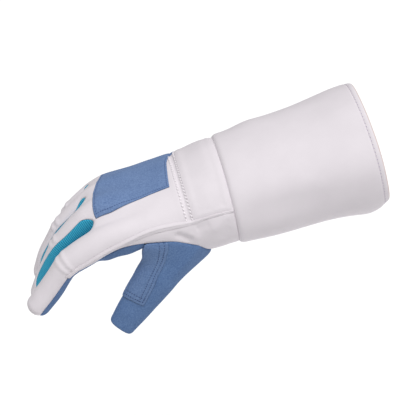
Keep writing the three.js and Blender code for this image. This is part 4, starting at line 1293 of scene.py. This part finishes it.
def thumb_patch_point(u, v):
    """u runs from the hand to the patch's end, v from its side edge round the thumb."""
    row = mix(PATCH_START_ROW, PATCH_CORNER_ROW, u)
    column = mix(np.interp(row, *zip(*PATCH_EDGE)), PATCH_BACK, v)
    return on_thumb(mix(PATCH_START_ROW, np.interp(column, *zip(*PATCH_END)), u), column)


rows = grid(lambda u, v: on_skin(("thumb",), thumb_patch_point(u, v))[0], 61, 41)
laid("thumb_patch_cloth", rows, 0.95, 0.8, 2.2, shaded_thumb_patch_suede, "thumb_patch")

# %% [markdown]
# ## Stitches
# A thread goes in and out of the cloth, so what shows of a stitch is a small rounded grain that lies on it. A
# row of dashes in a texture would be cheaper, but it would not catch the light. Geometry Nodes puts one grain
# on every point of a cloud. Each point carries its own turn, so the stitches follow the cloth, and one tree
# with its sizes as inputs makes all four kinds.

# %% Stitch nodes
SIZE_INPUTS = ("Length", "Width", "Height")
STITCH_INPUTS = {"Points": "Geometry", **dict.fromkeys(SIZE_INPUTS, "Float"), "Thread": "Material"}
GRAIN_SEGMENTS, GRAIN_RINGS = 8, 5


def stitch_nodes():
    group = bpy.data.node_groups.new("stitches", "GeometryNodeTree")
    for name, kind in STITCH_INPUTS.items():
        group.interface.new_socket(name, in_out="INPUT", socket_type="NodeSocket" + kind)
    group.interface.new_socket("Stitches", in_out="OUTPUT", socket_type="NodeSocketGeometry")
    given = node(group, "NodeGroupInput").outputs
    points_in = node(group, "GeometryNodeMeshToPoints", {"Mesh": given["Points"]}).outputs["Points"]
    settings = {"Segments": GRAIN_SEGMENTS, "Rings": GRAIN_RINGS, "Radius": 0.5}
    ball = node(group, "GeometryNodeMeshUVSphere", settings).outputs["Mesh"]
    sizes = {"X": given["Length"], "Y": given["Width"], "Z": given["Height"]}
    size = node(group, "ShaderNodeCombineXYZ", sizes).outputs["Vector"]
    grain = node(group, "GeometryNodeTransform", {"Geometry": ball, "Scale": size}).outputs["Geometry"]
    facing = node(group, "GeometryNodeInputNamedAttribute", {"Name": "facing"}, data_type="FLOAT_VECTOR")
    angles = {"Euler": facing.outputs["Attribute"]}
    turn = node(group, "FunctionNodeEulerToRotation", angles).outputs["Rotation"]
    placing = {"Points": points_in, "Instance": grain, "Rotation": turn}
    placed = node(group, "GeometryNodeInstanceOnPoints", placing).outputs["Instances"]
    whole = node(group, "GeometryNodeRealizeInstances", {"Geometry": placed}).outputs["Geometry"]
    thread = {"Geometry": whole, "Material": given["Thread"]}
    coloured = node(group, "GeometryNodeSetMaterial", thread).outputs["Geometry"]
    node(group, "NodeGroupOutput", {"Stitches": coloured})
    return group


STITCHES = stitch_nodes()
print("stitch nodes:", len(STITCHES.nodes))

# %% [markdown]
# The points of a row lie at an even pitch on a line, each on the nearest cloth. Drawn tight, the thread sinks
# into the cloth, so a grain's middle lies only a quarter of its height above it. The tilt turns every grain
# aside, as a zigzag machine leaves them.

# %% Stitch maker
STITCH_LIFT = 0.25  # of its height, from the cloth to its middle


def stitched(name, lines, on, pitch, size, thread, slot, tilt=0.0):
    """Stitches along lines, laid on the named panels. size is length, width and height in millimetres."""
    spots, turns = [], []
    for line in lines:
        whole = np.linalg.norm(np.diff(np.array(line), axis=0), axis=1).sum()
        evenly = even_line(line, max(3, int(whole / pitch) + 1))
        for k, p in enumerate(evenly):
            spot, normal = on_skin(on, p)
            ahead = evenly[min(k + 1, len(evenly) - 1)] - evenly[max(k - 1, 0)]
            along = unit(ahead - normal * (ahead @ normal))
            along = along * math.cos(tilt) + np.cross(normal, along) * math.sin(tilt)
            spots.append(tuple((spot + normal * size[2] * STITCH_LIFT) * MM))
            turns += Matrix(np.stack([along, np.cross(normal, along), normal], 1)).to_euler()[:]
    mesh = bpy.data.meshes.new(name)
    mesh.from_pydata(spots, [], [])
    mesh.attributes.new("facing", "FLOAT_VECTOR", "POINT").data.foreach_set("vector", turns)
    piece = linked(name, mesh)
    maker = piece.modifiers.new("stitches", "NODES")
    maker.node_group = STITCHES
    values = dict(zip(SIZE_INPUTS, np.array(size) * MM), Thread=thread)
    for socket in STITCHES.interface.items_tree:
        if socket.name in values:
            value = values[socket.name]
            maker[socket.identifier] = value if socket.name == "Thread" else float(value)
    applied(piece)
    return finish(piece, thread, slot, None)


print("stitches sit", STITCH_LIFT, "of their height above the cloth")

# %% [markdown]
# One row of blue stitches runs round the back patch, 2 mm inside its edge. The thumb's patch has two rows
# of navy ones. A zigzag row holds each edge of the elastic band, and a dotted row of lavender runs round the
# hem. Each row is measured from the same outlines as its patch, so it stays beside the edge.

# %% Rows on the patches
INSET_U, INSET_V, INSET_CORNER = 0.028, 0.033, 0.035  # shares of the back patch


def on_back_patch(u, v):
    return from_above(("back_patch_cloth",), patch_plan(u, v))


across = np.linspace(INSET_CORNER, 1 - INSET_CORNER, 40)
along = np.linspace(INSET_U, 1 - INSET_U, 50)
single = [[on_back_patch(u, v) for v in across] for u in (INSET_U, 1 - INSET_U)]
single += [[on_back_patch(u, v) for u in along] for v in (INSET_V, 1 - INSET_V)]
grain = (1.5, 0.7, 0.45)
stitched("back_patch_stitches", single, ("back_patch_cloth",), 2.1, grain, blue_thread, "blue_suede")
double = [[thumb_patch_point(u, v) for u in np.linspace(0.01, 0.955, 40)] for v in (0.075, 0.165)]
double += [[thumb_patch_point(u, v) for v in np.linspace(0.075, 0.97, 40)] for u in (0.955, 0.912)]
grain = (1.4, 0.75, 0.5)
stitched("thumb_patch_stitches", double, ("thumb_patch_cloth",), 2.2, grain, navy_thread, "blue_suede")

# %% Rows on the band and the hem
beside_band = ("wrist_band", "wrist_back", "back_panel")
zigzag = [[points[hand_vertex(row, n)] for n in range(1, BACK_COUNT)] for row in BAND_ROWS]
stitched("band_stitches", zigzag, beside_band, 3.2, (2.5, 1.6, 1.0), white_thread, "white_knit", 0.5)
dots = [[cuff_point(hem_start + 0.3, 360 * k / 240, 0.1) for k in range(241)]]
surfaces["hem_cloth"] = tree_of(hem)
stitched("hem_stitches", dots, ("hem_cloth",), 3.3, (1.1, 0.9, 0.4), lavender_thread, "hem_tape")

# %% [markdown]
# ## What is cloth
# Every panel is a sheet, cut flat and sewn, so it has a flat size and an area. The area could be taken from
# the pattern, but the model has none: it is that of the panel's outer face, because these cloths give only a
# little. The cuff and its hem are tubes of cloth with an outside and an inside, so their area is half of
# their surface.

# %% Say what is cloth
PATTERNS = {
    # width and length of the pattern in metres, and how it is held
    "back_panel_cloth": (0.150, 0.190, "stretched"),
    "wrist_back_cloth": (0.045, 0.130, "stretched"),
    "wrist_band_cloth": (0.010, 0.125, "stretched"),
    "side_panel_cloth": (0.085, 0.150, "stretched"),
    "palm_panel_cloth": (0.150, 0.175, "stretched"),
    "thumb_cloth": (0.110, 0.115, "stretched"),
    "gusset_index_middle_cloth": (0.024, 0.175, "stretched"),
    "gusset_middle_ring_cloth": (0.024, 0.175, "stretched"),
    "gusset_ring_little_cloth": (0.022, 0.150, "stretched"),
    "back_patch_cloth": (0.063, 0.072, "laid"),
    "thumb_patch_cloth": (0.032, 0.062, "laid"),
    "side_welt_cloth": (0.010, 0.130, "laid"),
    "cuff_cloth": (0.126, 0.350, "folded"),
    "hem_cloth": (0.010, 0.360, "folded"),
}
ON = {
    "back_patch_cloth": (["back_panel_cloth", "wrist_band_cloth"], ["back_patch_stitches"]),
    "thumb_patch_cloth": (["thumb_cloth"], ["thumb_patch_stitches"]),
    "side_welt_cloth": (["back_panel_cloth", "side_panel_cloth"], []),
    "hem_cloth": (["cuff_cloth"], ["hem_stitches"]),
    "wrist_band_cloth": ([], ["band_stitches"]),
}
for piece in (cuff, hem):
    areas[piece.name] = surface_of(piece) / 2
for name, (width, length, held) in PATTERNS.items():
    carriers, others = ON.get(name, ([], []))
    [built[other] for other in others]
    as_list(carriers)
    print(name, "flat", width, "x", length, "area", round(areas[name], 5))
